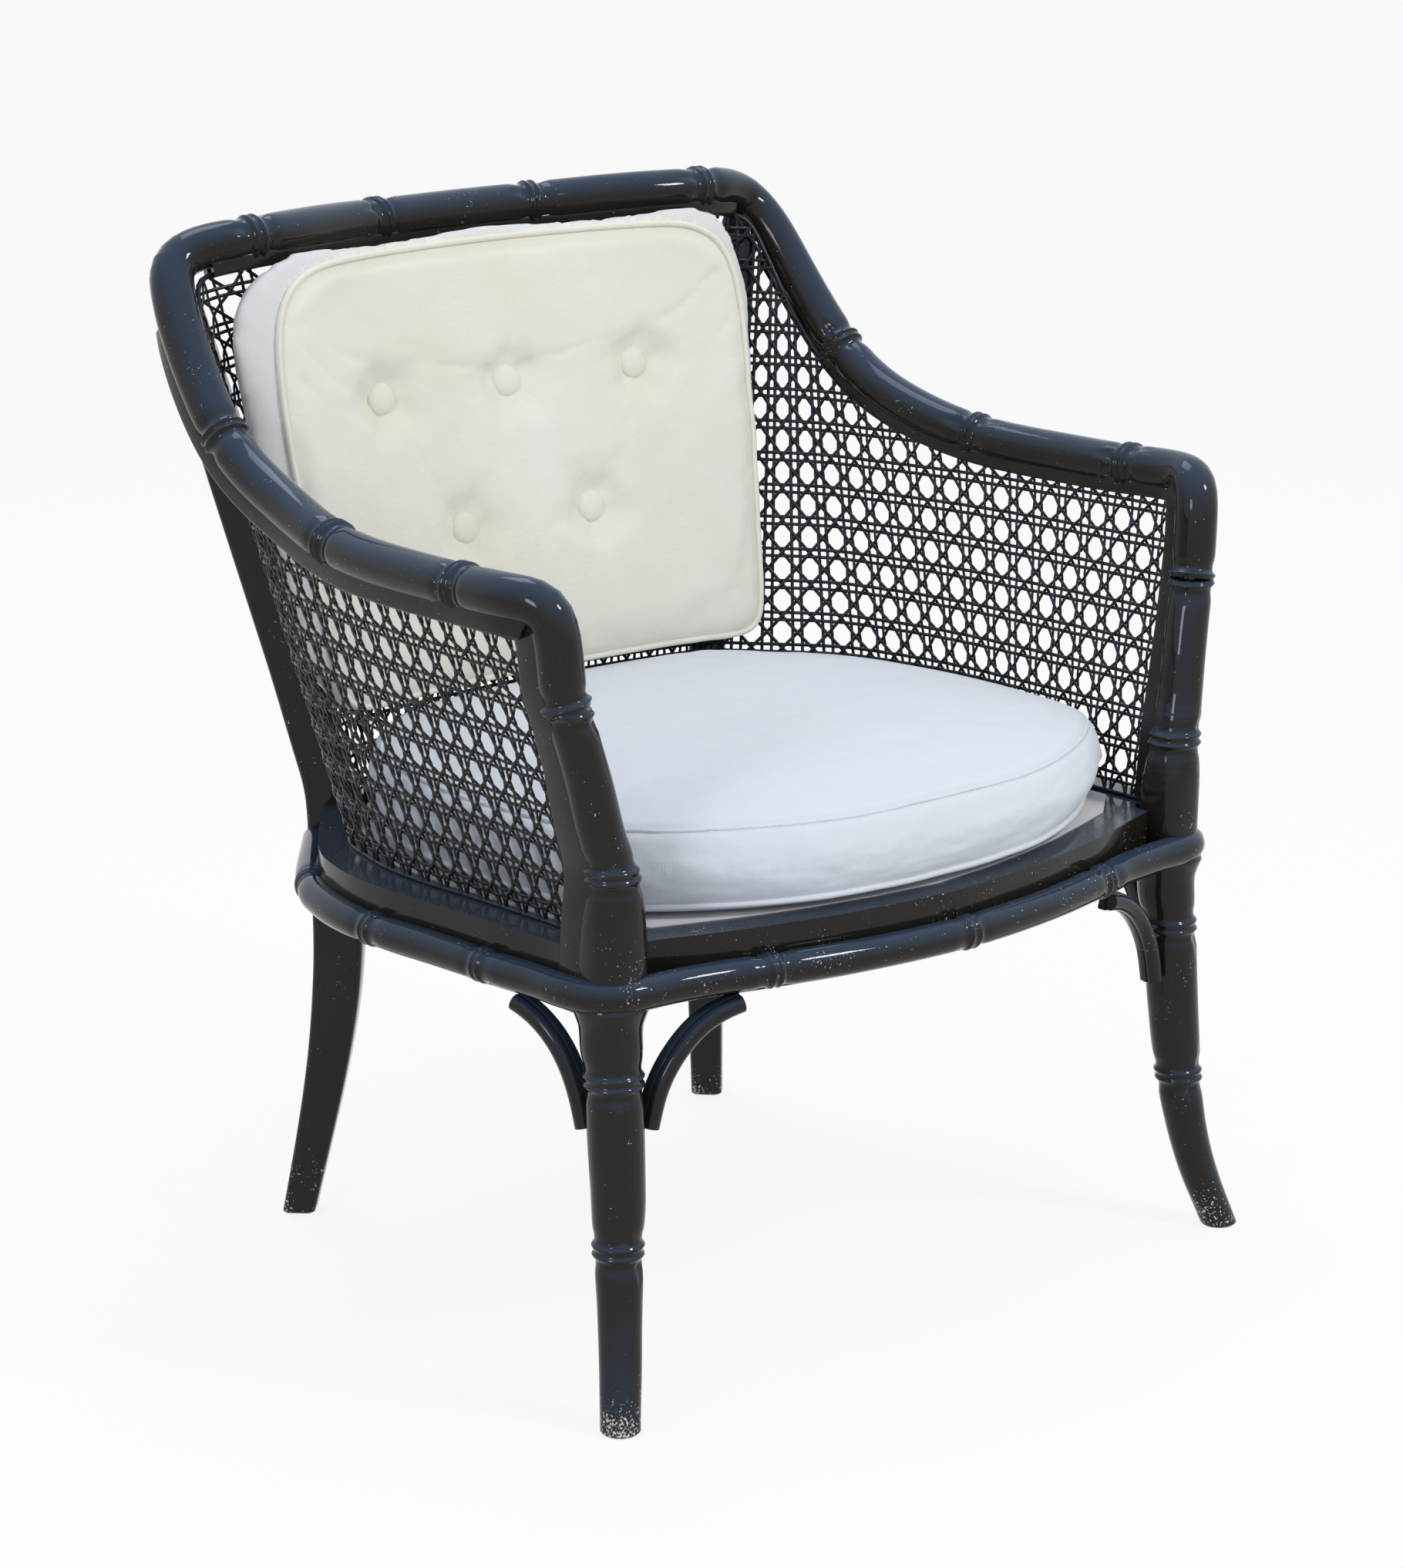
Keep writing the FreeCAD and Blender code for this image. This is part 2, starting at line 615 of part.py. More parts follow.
def make_moulding(edge, start, end, ring_points, cutters):
    """Half-round moulding with its rings, fitted to the wood behind it."""
    points = []
    count = int((end - start) / 9.0)
    for k in range(count + 1):
        points.append(along(edge, start + (end - start) * k / count)[0])
    part = smooth_line(points)
    rings = sorted(length_at(part, V(x, y, MOULDING_Z)) for x, y in ring_points)
    bead = turned_rail(part, MOULDING_R, rings, 14.0, MOULDING_RING)
    return cut_all(bead, cutters)


def make_brace(points, foot_size, head_size, cutters):
    """Curved brace with a moulded block at each end."""
    line = [vec(p) for p in points]
    body = plain_tube(line, BRACE_R, 8.0)
    foot, head = line[0], line[-1]
    base = Part.makeBox(foot_size[0], foot_size[1], foot_size[2],
                        V(foot.x - foot_size[0] / 2.0, foot.y - foot_size[1] / 2.0, foot.z - 8.0))
    top = Part.makeBox(head_size[0], head_size[1], head_size[2],
                       V(head.x - head_size[0] / 2.0, head.y - head_size[1] / 2.0, head.z - 10.0))
    base = base.makeFillet(3.0, base.Edges)
    top = top.makeFillet(3.0, top.Edges)
    body = body.fuse([base, top])
    return main_solid(cut_all(body, cutters))


def cane_rows():
    """Foot, middle and head of the cane sheet at each station, from the right post to mid-back."""
    foot_edge = smooth_line([V(x, y, SEAT_TOP_Z + CLEAR) for x, y in CANE_FOOT])
    post_s = length_at(foot_edge, V(CANE_FOOT[CANE_POST_FOOT][0], CANE_FOOT[CANE_POST_FOOT][1], SEAT_TOP_Z))
    corner_s = ARM_EDGE.Length - CANE_STOP
    start_s = ELBOW_S + CANE_START
    rows = []
    for k in range(CANE_ARM_ROWS):
        f = k / (CANE_ARM_ROWS - 1.0)
        foot, foot_t = along(foot_edge, post_s * f)
        p, t = along(ARM_EDGE, start_s + (corner_s - start_s) * f)
        down, out = panel_frame(t, arm_out(p), unit(foot - p))
        turn = math.radians(CANE_TURN + (CANE_CORNER_TURN - CANE_TURN) * max(0.0, (f - 0.7) / 0.3))
        head = p + (down * math.cos(turn) - out * math.sin(turn)) * CANE_HEAD_R
        rows.append((foot, head, foot_t, t))
    mid_s = CREST_EDGE.Length / 2.0
    for k in range(1, 13):
        f = k / 12.0
        foot, foot_t = along(foot_edge, post_s + (foot_edge.Length - post_s) * f)
        p, t = along(CREST_EDGE, CREST_CANE_START + (mid_s - CREST_CANE_START) * f)
        down, out = panel_frame(t, V(0.0, 1.0, 0.0))
        head = p + down * CANE_HEAD_R - out * CANE_IN
        rows.append((foot, head, foot_t, t))
    return rows


def sheet_section(foot, mid, head, normal):
    """Upright section of the thin sheet: two shallow arcs and two short lines."""
    n = normal * (CANE_T / 2.0)
    outer = Part.Arc(foot + n, mid + n, head + n).toShape()
    top = Part.LineSegment(head + n, head - n).toShape()
    inner = Part.Arc(head - n, mid - n, foot - n).toShape()
    low = Part.LineSegment(foot - n, foot + n).toShape()
    return Part.Wire([outer, top, inner, low])


def level_normal(row):
    """Direction out of the chair across the sheet at a station."""
    t = V(row[2].x + row[3].x, row[2].y + row[3].y, 0.0)
    n = unit(V(t.y, -t.x, 0.0))
    return n


def make_cane(rows):
    """One woven sheet from the left post round the back to the right post."""
    sections = []
    for foot, head, foot_t, t in rows:
        n = level_normal((foot, head, foot_t, t))
        if n.x < 0.0 and foot.x > 5.0:
            n = n * -1.0
        if foot.x <= 5.0:
            n = V(0.0, 1.0, 0.0)
        mid = (foot + head) * 0.5 + n * 0.6
        sections.append((foot, mid, head, n))
    left = [(flip(f), flip(m), flip(h), flip(n)) for f, m, h, n in sections[:-1]]
    everything = left + list(reversed(sections))
    return Part.makeLoft([sheet_section(*s) for s in everything], True, True), sections


def make_cords(sections):
    """Cords along the groove: up each post and under each arm, under the crest, and along the seat."""
    inward = CANE_T / 2.0 + CORD_R + CLEAR
    side, back = [], []
    for z, away in POST_CORD:
        c = leg_centre(z)
        side.append(V(c.x - CANE_IN - inward, c.y + RAIL_R + CORD_R + away, z))
    for k, (foot, mid, head, n) in enumerate(sections):
        place = head + unit(foot - head) * (CORD_R + CLEAR) - n * inward
        if 1 < k < CANE_ARM_ROWS - 2:
            side.append(place)
        if k > CANE_ARM_ROWS:
            back.append(place)
    back = back + [flip(p) for p in reversed(back[:-1])]
    plan = offset_plan(CANE_FOOT[1:], inward)
    z = SEAT_TOP_Z + CORD_R + CLEAR
    foot = [V(x, y, z) for x, y in plan] + [V(-x, y, z) for x, y in reversed(plan[:-1])]
    return plain_tube(side, CORD_R, 10.0), plain_tube(back, CORD_R, 12.0), plain_tube(foot, CORD_R, 12.0)


def bent_edge(start, middle, end):
    """Arc through three points, lifted a hair where they lie on one line."""
    chord = end - start
    if chord.cross(middle - start).Length < 0.02 * chord.Length:
        side = unit(V(-chord.y, chord.x, 0.0))
        middle = (start + end) * 0.5 + side * 0.05
    return Part.Arc(start, middle, end).toShape()


def arcs_loop(points):
    """Closed loop of arcs, each through a start, a middle and an end point."""
    count = len(points)
    return Part.Wire([bent_edge(points[k], points[k + 1], points[(k + 2) % count])
                      for k in range(0, count, 2)])


def seat_slice(z, scale):
    """Level slice of the seat cushion."""
    right = [V(x * scale, SEAT_MIDDLE_Y + (y - SEAT_MIDDLE_Y) * scale, z) for x, y in SEAT_PLAN]
    left = [flip(p) for p in reversed(right[1:-1])]
    return arcs_loop(right + left)


def make_seat_cushion(skin):
    """Crowned seat cushion, drawn in by the thickness of its cover."""
    sections = []
    height = SEAT_SLICES[-1][0]
    squeeze = 1.0 - 2.0 * skin / height
    for up, scale in SEAT_SLICES:
        z = SEAT_FOOT_Z + skin + up * squeeze
        sections.append(seat_slice(z, scale - skin / 230.0))
    return Part.makeLoft(sections, True, True)


def back_slice(row, skin):
    """Level slice of the back cushion, bowed to follow the back."""
    z, a, m, r, yf, yfc, yr, yrc = row
    a, m, r = a - skin, m - skin, r - skin
    yf, yfc = yf + skin, yfc + skin
    yr, yrc = yr - skin, yrc - skin
    c = min(BACK_CORNER, 0.28 * (yr - yf))
    end_x, end_y = r - 1.25 * c, yr + 0.5 * c
    right = [V(0.0, yfc, z), V((a - c) * 0.55, yfc + (yf - yfc) * 0.30, z), V(a - c, yf, z),
             V(a - 0.2 * c, yf + 0.28 * c, z), V(a + 0.25 * c, yf + c, z), V(m, (yf + yr) / 2.0, z),
             V(r + 0.75 * c, yr - 0.75 * c, z), V(r + 0.1 * c, yr, z), V(end_x, end_y, z),
             V(end_x * 0.52, end_y + (yrc - end_y) * REAR_BOW, z), V(0.0, yrc, z)]
    left = [flip(p) for p in reversed(right[1:-1])]
    return arcs_loop(right + left)


def make_back_cushion(skin):
    """Loose back cushion as a loft of level slices."""
    rows = BACK_SLICES if skin == 0.0 else BACK_SLICES[:-2]
    low, high = rows[0][0], rows[-1][0]
    squeeze = 1.0 - 2.0 * skin / (high - low)
    sections = []
    for row in rows:
        z = low + skin + (row[0] - low) * squeeze
        sections.append(back_slice((z,) + row[1:], skin))
    return Part.makeLoft(sections, True, True)


def button_axis():
    """Direction from the front button to the rear one, square to the leaning cushion."""
    return unit(V(0.0, 1.0, -BACK_LEAN))


def pierce(shape, x, z):
    """Where the line of a button enters and leaves the cushion."""
    n = button_axis()
    start = V(x, 150.0, z + 8.0)
    hit = shape.common(Part.LineSegment(start, start + n * 200.0).toShape())
    ends = sorted((v.Point for v in hit.Vertexes), key=lambda p: p.y)
    return ends[0], ends[-1]


def round_body(at, n, radius, dome, rim):
    """Domed button on a short rim."""
    curve_r = (radius * radius + dome * dome) / (2.0 * dome)
    low = math.degrees(math.asin((curve_r - dome) / curve_r))
    cap = Part.makeSphere(curve_r, at - n * (rim - (curve_r - dome)), n * -1.0, low, 90.0, 360.0)
    return cap.fuse(Part.makeCylinder(radius, rim, at, n * -1.0))


def make_buttons(cushion):
    """Tufts, front buttons, rear buttons and the twine between them."""
    n = button_axis()
    tufts, deep_tufts, fronts, rears, twines, holes = [], [], [], [], [], []
    for x, z in UPPER_BUTTONS + LOWER_BUTTONS:
        front, rear = pierce(cushion, x, z)
        middle = front + n * (TUFT_DEPTH - TUFT_R)
        tufts.append(Part.makeSphere(TUFT_R, middle))
        deep_tufts.append(Part.makeSphere(TUFT_R + CUSHION_SKIN, middle))
        sink = BUTTON_R * BUTTON_R / (2.0 * TUFT_R) + 0.5
        seat = front + n * (TUFT_DEPTH - sink)
        fronts.append(round_body(seat, n, BUTTON_R, BUTTON_DOME, BUTTON_RIM))
        back = rear + n * REAR_BUTTON_OUT
        rears.append(Part.makeCylinder(REAR_BUTTON_R, REAR_BUTTON_T, back, n))
        twines.append(rod(seat, back, TWINE_R))
        holes.append(rod(seat - n * 2.0, back, TWINE_R + CLEAR))
    return tufts, deep_tufts, fronts, rears, twines, holes


def export(name, shape):
    """Move a finished piece to the chair's frame and write it."""
    shape = shape.copy()
    shape.translate(V(0.0, SHIFT_Y, 0.0))
    shape.exportStep("parts/" + name + ".step")


def main():
    os.makedirs("parts", exist_ok=True)
    nodes = {}

    leg = make_front_leg()
    arm = make_arm_rail()
    arm_left = mirror(arm)
    crest = make_crest_rail([arm, arm_left])
    rear = make_rear_leg()

    low = SEAT_TOP_Z - SEAT_RAIL_H
    side_rail = curved_board(SIDE_FACE, offset_plan(SIDE_FACE, SEAT_RAIL_W), low, SEAT_TOP_Z)
    front_plan = both_halves(FRONT_FACE)
    front_rail = curved_board(front_plan, offset_plan(front_plan, SEAT_RAIL_W), low, SEAT_TOP_Z)
    rear_plan = list(reversed(both_halves(REAR_FACE)))
    rear_rail = curved_board(rear_plan, offset_plan(rear_plan, REAR_RAIL_W), low, SEAT_TOP_Z)

    side_rail = main_solid(cut_all(side_rail, [leg, rear]))
    side_rail_left = mirror(side_rail)
    leg_left, rear_left = mirror(leg), mirror(rear)
    front_rail = main_solid(cut_all(front_rail, [leg, leg_left, side_rail, side_rail_left]))
    rear_rail = main_solid(cut_all(rear_rail, [rear, rear_left, side_rail, side_rail_left]))

    bead_line, bead_corner = moulding_lines()
    side_bead = make_moulding(bead_line, bead_corner, bead_line.Length, SIDE_MOULDING_RINGS, [side_rail, leg, rear])
    side_bead = main_solid(side_bead)
    half_bead = make_moulding(bead_line, 0.0, bead_corner, FRONT_MOULDING_RINGS, [front_rail, leg])
    half_bead = main_solid(half_bead)
    front_bead = half_bead.fuse(mirror(half_bead)).removeSplitter()

    front_brace = make_brace(FRONT_BRACE, BRACE_BLOCK, BRACE_HEAD, [leg, front_bead, front_rail])
    side_block = (BRACE_BLOCK[1], BRACE_BLOCK[0], BRACE_BLOCK[2])
    side_head = (BRACE_HEAD[1], BRACE_HEAD[0], BRACE_HEAD[2])
    side_brace = make_brace(SIDE_BRACE, side_block, side_head, [leg, side_bead, side_rail])

    front_block = prism([(262.0, -178.0), (250.0, -100.0), (180.0, -185.0)], BLOCK_Z, BLOCK_Z + BLOCK_H)
    front_block = main_solid(cut_all(front_block, [front_rail, side_rail, leg]))
    rear_block = prism([(176.0, 200.0), (214.0, 138.0), (106.0, 200.0)], BLOCK_Z, BLOCK_Z + BLOCK_H)
    rear_block = main_solid(cut_all(rear_block, [side_rail, rear_rail, rear]))

    deck_right = DECK_FRONT + offset_plan(CANE_FOOT[1:], DECK_INSET)
    deck_points = [V(x, y, SEAT_TOP_Z - DECK_T) for x, y in deck_right]
    deck_points += [flip(p) for p in reversed(deck_points[1:-1])]
    deck_face = Part.Face(Part.makePolygon(deck_points + [deck_points[0]]))
    deck = deck_face.extrude(V(0.0, 0.0, DECK_T))
    cover = deck_face.extrude(V(0.0, 0.0, CLOTH_T))
    cover.translate(V(0.0, 0.0, DECK_T))
    side_rail = side_rail.cut(deck)
    front_rail = front_rail.cut(deck)
    rear_rail = rear_rail.cut(deck)

    spots = [(60.0, -234.0), (165.0, -205.0), (261.5, -90.0), (263.0, 0.0), (246.0, 98.0), (70.0, 209.5)]
    screws = []
    for x, y in spots:
        head = Part.makeCylinder(SCREW_HEAD_R, SCREW_HEAD_H, V(x, y, SEAT_TOP_Z), V(0.0, 0.0, -1.0))
        screw = head.fuse(Part.makeCylinder(SCREW_R, SCREW_L, V(x, y, SEAT_TOP_Z), V(0.0, 0.0, -1.0)))
        screws += [screw, mirror(screw)]

    dowels = []
    for z in (304.0, 320.0):
        dowels.append(rod(V(238.0, -201.0, z), V(272.0, -201.0, z), DOWEL_R))
        dowels.append(rod(V(284.0, -207.0, z), V(282.0, -164.0, z), DOWEL_R))
        dowels.append(rod(V(190.0, 226.0, z), V(211.0, 205.0, z), DOWEL_R * 0.75))
        dowels.append(rod(V(184.0, 224.0, z), V(150.0, 224.0, z), DOWEL_R * 0.75))
    dowels += [mirror(d) for d in dowels]
    top = leg_centre(POST_JOINT_Z)
    lean = unit(leg_centre(POST_JOINT_Z + 20.0) - leg_centre(POST_JOINT_Z - 20.0))
    post_dowel = rod(top - lean * 22.0, top + lean * 22.0, DOWEL_R)
    start, t = along(CREST_EDGE, 24.0)
    crest_dowel = rod(start + t * 8.0, start - t * 34.0, DOWEL_R)

    deck = cut_all(deck, screws)
    holes = dowels + screws
    side_rail = cut_all(side_rail, holes)
    side_rail_left = mirror(side_rail)
    front_rail = cut_all(front_rail, holes)
    rear_rail = cut_all(rear_rail, holes)
    leg = cut_all(leg, dowels + [post_dowel])
    rear = cut_all(rear, dowels)
    arm = cut_all(arm, [post_dowel, crest_dowel])
    crest = cut_all(crest, [crest_dowel, mirror(crest_dowel)])

    rows = cane_rows()
    cane, cane_sections = make_cane(rows)
    side_cord, back_cord, foot_cord = make_cords(cane_sections)

    nodes["front_leg_right"] = leg
    nodes["front_leg_left"] = mirror(leg)
    nodes["rear_leg_right"] = rear
    nodes["rear_leg_left"] = mirror(rear)
    nodes["arm_rail_right"] = arm
    nodes["arm_rail_left"] = mirror(arm)
    nodes["crest_rail"] = crest
    nodes["seat_rail_right"] = side_rail
    nodes["seat_rail_left"] = side_rail_left
    nodes["seat_rail_front"] = front_rail
    nodes["seat_rail_rear"] = rear_rail
    nodes["moulding_right"] = side_bead
    nodes["moulding_left"] = mirror(side_bead)
    nodes["moulding_front"] = front_bead
    nodes["bracket_front_right"] = front_brace
    nodes["bracket_front_left"] = mirror(front_brace)
    nodes["bracket_side_right"] = side_brace
    nodes["bracket_side_left"] = mirror(side_brace)
    nodes["corner_block_front_right"] = front_block
    nodes["corner_block_front_left"] = mirror(front_block)
    nodes["corner_block_rear_right"] = rear_block
    nodes["corner_block_rear_left"] = mirror(rear_block)
    nodes["deck_board"] = deck
    nodes["deck_cover"] = cover
    nodes["deck_screws"] = Part.makeCompound(screws)
    nodes["rail_dowels"] = Part.makeCompound(dowels)
    nodes["post_dowels"] = Part.makeCompound([post_dowel, mirror(post_dowel)])
    nodes["crest_dowels"] = Part.makeCompound([crest_dowel, mirror(crest_dowel)])
    nodes["cane_panel"] = cane
    nodes["cane_cord_right"] = side_cord
    nodes["cane_cord_left"] = mirror(side_cord)
    nodes["cane_cord_back"] = back_cord
    nodes["cane_cord_seat"] = foot_cord

    seat = make_seat_cushion(0.0)
    seat_inside = make_seat_cushion(CUSHION_SKIN)
    loop = seat_slice(SEAT_FOOT_Z + SEAT_PIPING_UP, SEAT_PIPING_OUT)
    seat_piping = closed_cord(loop.discretize(Number=73)[:-1], SEAT_PIPING_R)
    nodes["seat_cushion_cover"] = seat.cut(seat_inside).cut(seat_piping)
    nodes["seat_cushion_foam"] = seat_inside
    nodes["seat_cushion_piping"] = seat_piping

    back = make_back_cushion(0.0)
    back_inside = make_back_cushion(CUSHION_SKIN)
    tufts, deep, fronts, rears, twines, pins = make_buttons(back)
    piping_right = [vec(p) for p in BACK_PIPING]
    piping_loop = piping_right + [flip(p) for p in reversed(piping_right[1:-1])]
    piping = closed_cord(closed_path(piping_loop, 14.0), PIPING_R)
    back_inside = cut_all(back_inside, deep + pins)
    back_cover = cut_all(cut_all(back, tufts + pins), [back_inside, piping])
    nodes["back_cushion_cover"] = back_cover
    nodes["back_cushion_foam"] = back_inside
    nodes["back_cushion_piping"] = piping
    nodes["back_cushion_buttons"] = Part.makeCompound(fronts)
    nodes["back_cushion_rear_buttons"] = Part.makeCompound(rears)
    nodes["back_cushion_twine"] = Part.makeCompound(twines)

    for name, shape in nodes.items():
        export(name, shape)


main()
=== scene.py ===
"""Lounge chair: lacquered frame turned like bamboo, woven cane back, and two loose cushions.

Sizes are drawn in millimetres, right half first, and turned to metres where a mesh is made.
Up is +Z, the sitter's front is -Y, and the floor is z = 0.
"""

import json
import logging
import math
from dataclasses import dataclass
from enum import Enum
from functools import partial
from typing import Callable, Sequence

import bpy
import numpy as np
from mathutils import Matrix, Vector, noise
from mathutils.bvhtree import BVHTree


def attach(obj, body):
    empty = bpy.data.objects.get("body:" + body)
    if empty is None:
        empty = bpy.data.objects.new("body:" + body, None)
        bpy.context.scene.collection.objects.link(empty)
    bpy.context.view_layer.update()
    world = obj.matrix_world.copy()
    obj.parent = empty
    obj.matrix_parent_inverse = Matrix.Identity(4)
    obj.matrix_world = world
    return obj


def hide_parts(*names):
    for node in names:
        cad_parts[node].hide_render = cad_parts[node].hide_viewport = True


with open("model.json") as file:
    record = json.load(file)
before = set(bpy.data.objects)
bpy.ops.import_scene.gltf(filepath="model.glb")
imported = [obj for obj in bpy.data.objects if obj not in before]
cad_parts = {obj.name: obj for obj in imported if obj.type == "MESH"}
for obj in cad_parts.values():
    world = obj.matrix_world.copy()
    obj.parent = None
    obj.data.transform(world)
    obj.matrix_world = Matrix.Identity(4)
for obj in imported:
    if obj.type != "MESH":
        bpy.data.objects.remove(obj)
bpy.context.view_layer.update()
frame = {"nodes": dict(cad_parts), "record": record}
log = logging.getLogger("lounge_chair")

MM = 0.001
TURN = 2.0 * math.pi
DRAWN_SHIFT = np.array([0.0, -21.15, 0.0])
SIDEWAYS = np.array([1.0, 0.0, 0.0])
BACKWARD = np.array([0.0, 1.0, 0.0])
UPWARD = np.array([0.0, 0.0, 1.0])

Points = Sequence[Sequence[float]]
Pair = tuple[float, float]
Socket = bpy.types.NodeSocket


class Side(Enum):
    """The half of the chair that a piece belongs to, or both."""

    RIGHT = "_right"
    LEFT = "_left"
    BOTH = ""


# Lines of the frame, the same as the solids have.
LEG_LINE = [
    (0, 308.2, -251.8, 14.2), (20, 302.8, -245.5, 14.6), (40, 297.5, -239.5, 15.1),
    (70, 291.7, -232.3, 15.6), (100, 287.8, -227.2, 16.8), (122.5, 286.1, -224.1, 17.4),
    (150, 283.9, -222.1, 19), (180, 282.7, -219.5, 19.8), (210, 281.9, -217.1, 20.4),
    (243, 281.1, -214.5, 20.3), (266, 280.4, -211.5, 22), (292, 280, -210.5, 22.3),
    (330, 279.6, -211.5, 22.3), (362, 280.2, -213.6, 21.2), (391, 281.8, -214.7, 18.6),
    (420, 289, -211.6, 17.2), (458, 296.8, -208, 16.7), (509, 309.6, -201.8, 16.5),
    (527, 312.8, -200.3, 16.5), (545, 314.8, -199.2, 16.5),
]
ARM_LINE = [
    (303.4, -204.8, 484), (309.6, -201.8, 509), (312.8, -200.3, 527), (316.4, -198, 563),
    (321.6, -190.2, 578.6), (329.8, -169, 582.9), (330, -116.3, 581.7), (327.7, -37.7, 580.9),
    (320.1, 42.7, 585), (310.6, 116.9, 602.3), (308.3, 189.1, 639.8), (301.3, 252.3, 713),
    (290.5, 279.5, 750),
]
ARM_RINGS = [(330, -116.3, 581.7), (320.1, 42.7, 585), (308.3, 189.1, 639.8)]
ARM_JOINT = (309.6, -201.8, 509)
ELBOW = (328, -178, 582.5)
CREST_LINE = [
    (284.6, 283.6, 757.6), (268.2, 281, 761.9), (223, 271.8, 768.4), (178, 280.5, 768.9),
    (135.9, 294.3, 767.8), (76.4, 310.3, 765.5), (0, 315.5, 765),
]
CREST_RINGS = [(223, 271.8, 768.4), (76.4, 310.3, 765.5)]
REAR_LINE = [
    (0, 215, 250, 25.5), (60, 205.7, 240.7, 28.5), (120, 197.3, 232.3, 32.5),
    (180, 191.4, 226.4, 37), (240, 189.2, 224.2, 39), (300, 190.5, 225.5, 39),
    (343, 192.3, 227.3, 38), (374, 198, 232.4, 37), (429, 210.4, 240.4, 36),
    (481, 222.6, 248.2, 36), (594, 249.6, 265.2, 36), (670, 267.4, 277.2, 35),
    (745, 285.5, 290.5, 33),
]
SIDE_FACE = [
    (299.6, -200), (299.6, -186), (299, -162), (302, -122), (304, -81),
    (306, -38), (308.5, 3), (305, 56), (294.6, 95), (288.5, 110), (269.5, 140),
    (240, 178), (215, 208), (200, 226),
]
FRONT_FACE = [
    (0, -266.5), (60, -262), (111, -254), (145, -246), (177, -238),
    (219, -224), (268, -208.5),
]
MOULDING_CORNER = [
    (195, -240.5), (219, -235.5), (245, -231.8), (268, -230.2), (285.2, -227.2),
    (296.6, -218.6), (302.4, -203.5), (304.8, -186),
]
CORNER_SPLIT = 5
SIDE_MOULDING_RINGS = [(309, -108), (314, 13), (281, 132)]
FRONT_MOULDING_RINGS = [(0, -274.5), (166, -248.5)]
CANE_FOOT = [
    (274.5, -186.5), (274.3, -160), (274.2, -131), (275, -89), (276.3, -46),
    (278.5, -4), (275.7, 47), (267.7, 82), (259.4, 109), (243, 135), (221, 160),
    (198, 186), (177, 207), (150, 216), (112, 220.5), (50, 224), (0, 225),
]
CANE_POST_FOOT = 12
FRONT_BRACE = [
    (256, -224.8, 204), (248.5, -226.6, 231), (237, -229.4, 251.5), (220.5, -233.3, 269),
    (202, -237.7, 279.5), (186, -241.5, 284),
]
SIDE_BRACE = [
    (291, -193, 204), (292, -187, 226), (293.8, -178, 247), (296.8, -163.5, 266),
    (300.3, -146, 278.5), (303, -133, 284),
]
SEAT_PLAN = [
    (0, -253), (56, -251.5), (105, -244), (178, -213), (236, -170),
    (253, -143), (259, -108), (263, -30), (254, 48), (236, 106),
    (200, 152), (162, 187), (108, 205), (56, 209.5), (0, 211),
]
BACK_PIPING = [
    (0, 194.6, 414.8), (110, 188.6, 414.8), (175, 179.8, 415), (197, 176, 416.6),
    (209.5, 174.5, 422.1), (214.6, 175, 432), (217.4, 178.2, 447), (222.2, 187.6, 490),
    (226.2, 197.6, 540), (230.2, 208.2, 590), (232.2, 218.2, 640), (231.2, 225.6, 680),
    (226.4, 231.2, 708), (214.6, 234.6, 730), (195, 238, 742.8), (168, 242.4, 748.4),
    (100, 254.8, 750.4), (0, 261.6, 750.6),
]
BACK_CORNER = [(296, 268, 735.5), (288.5, 278.5, 750), (275.5, 281.5, 759.5), (255, 277.5, 765.5)]

def set_all(target: object, values: dict[str, object]) -> None:
    """Set several properties of one thing."""
    for key, value in values.items():
        setattr(target, key, value)


def srgb(code: str) -> tuple[float, ...]:
    """Linear colour of an sRGB hex value.

    Args:
        code: Six hex digits after a hash mark.

    Returns:
        Red, green, blue and alpha.
    """
    values = [int(code[k:k + 2], 16) / 255.0 for k in (1, 3, 5)]
    return (*(v / 12.92 if v <= 0.04045 else ((v + 0.055) / 1.055) ** 2.4 for v in values), 1.0)


def add_node(tree: bpy.types.NodeTree, kind: str, inputs: dict | None = None, out: int | str = 0,
             **settings: object) -> Socket | None:
    """Add a shader node with its settings and its input values or links.

    Args:
        tree: The material's node tree.
        kind: Blender's name of the node, after its first words.
        inputs: Input name or number to a value, or to the socket that feeds it.
        out: Name or number of the wanted output.
        settings: Properties of the node.

    Returns:
        The wanted output, if the node has any.
    """
    made = tree.nodes.new(f"ShaderNode{kind}")
    set_all(made, settings)
    for key, value in (inputs or {}).items():
        if isinstance(value, Socket):
            tree.links.new(value, made.inputs[key])
        else:
            made.inputs[key].default_value = value
    return made.outputs[out] if made.outputs else None


def new_material(name: str) -> tuple[bpy.types.Material, Callable[..., Socket]]:
    """An empty node material.

    Args:
        name: Name of the finish.

    Returns:
        The material, and add_node for its tree.
    """
    material = bpy.data.materials.new(name)
    material.use_nodes = True
    material.node_tree.nodes.clear()
    return material, partial(add_node, material.node_tree)


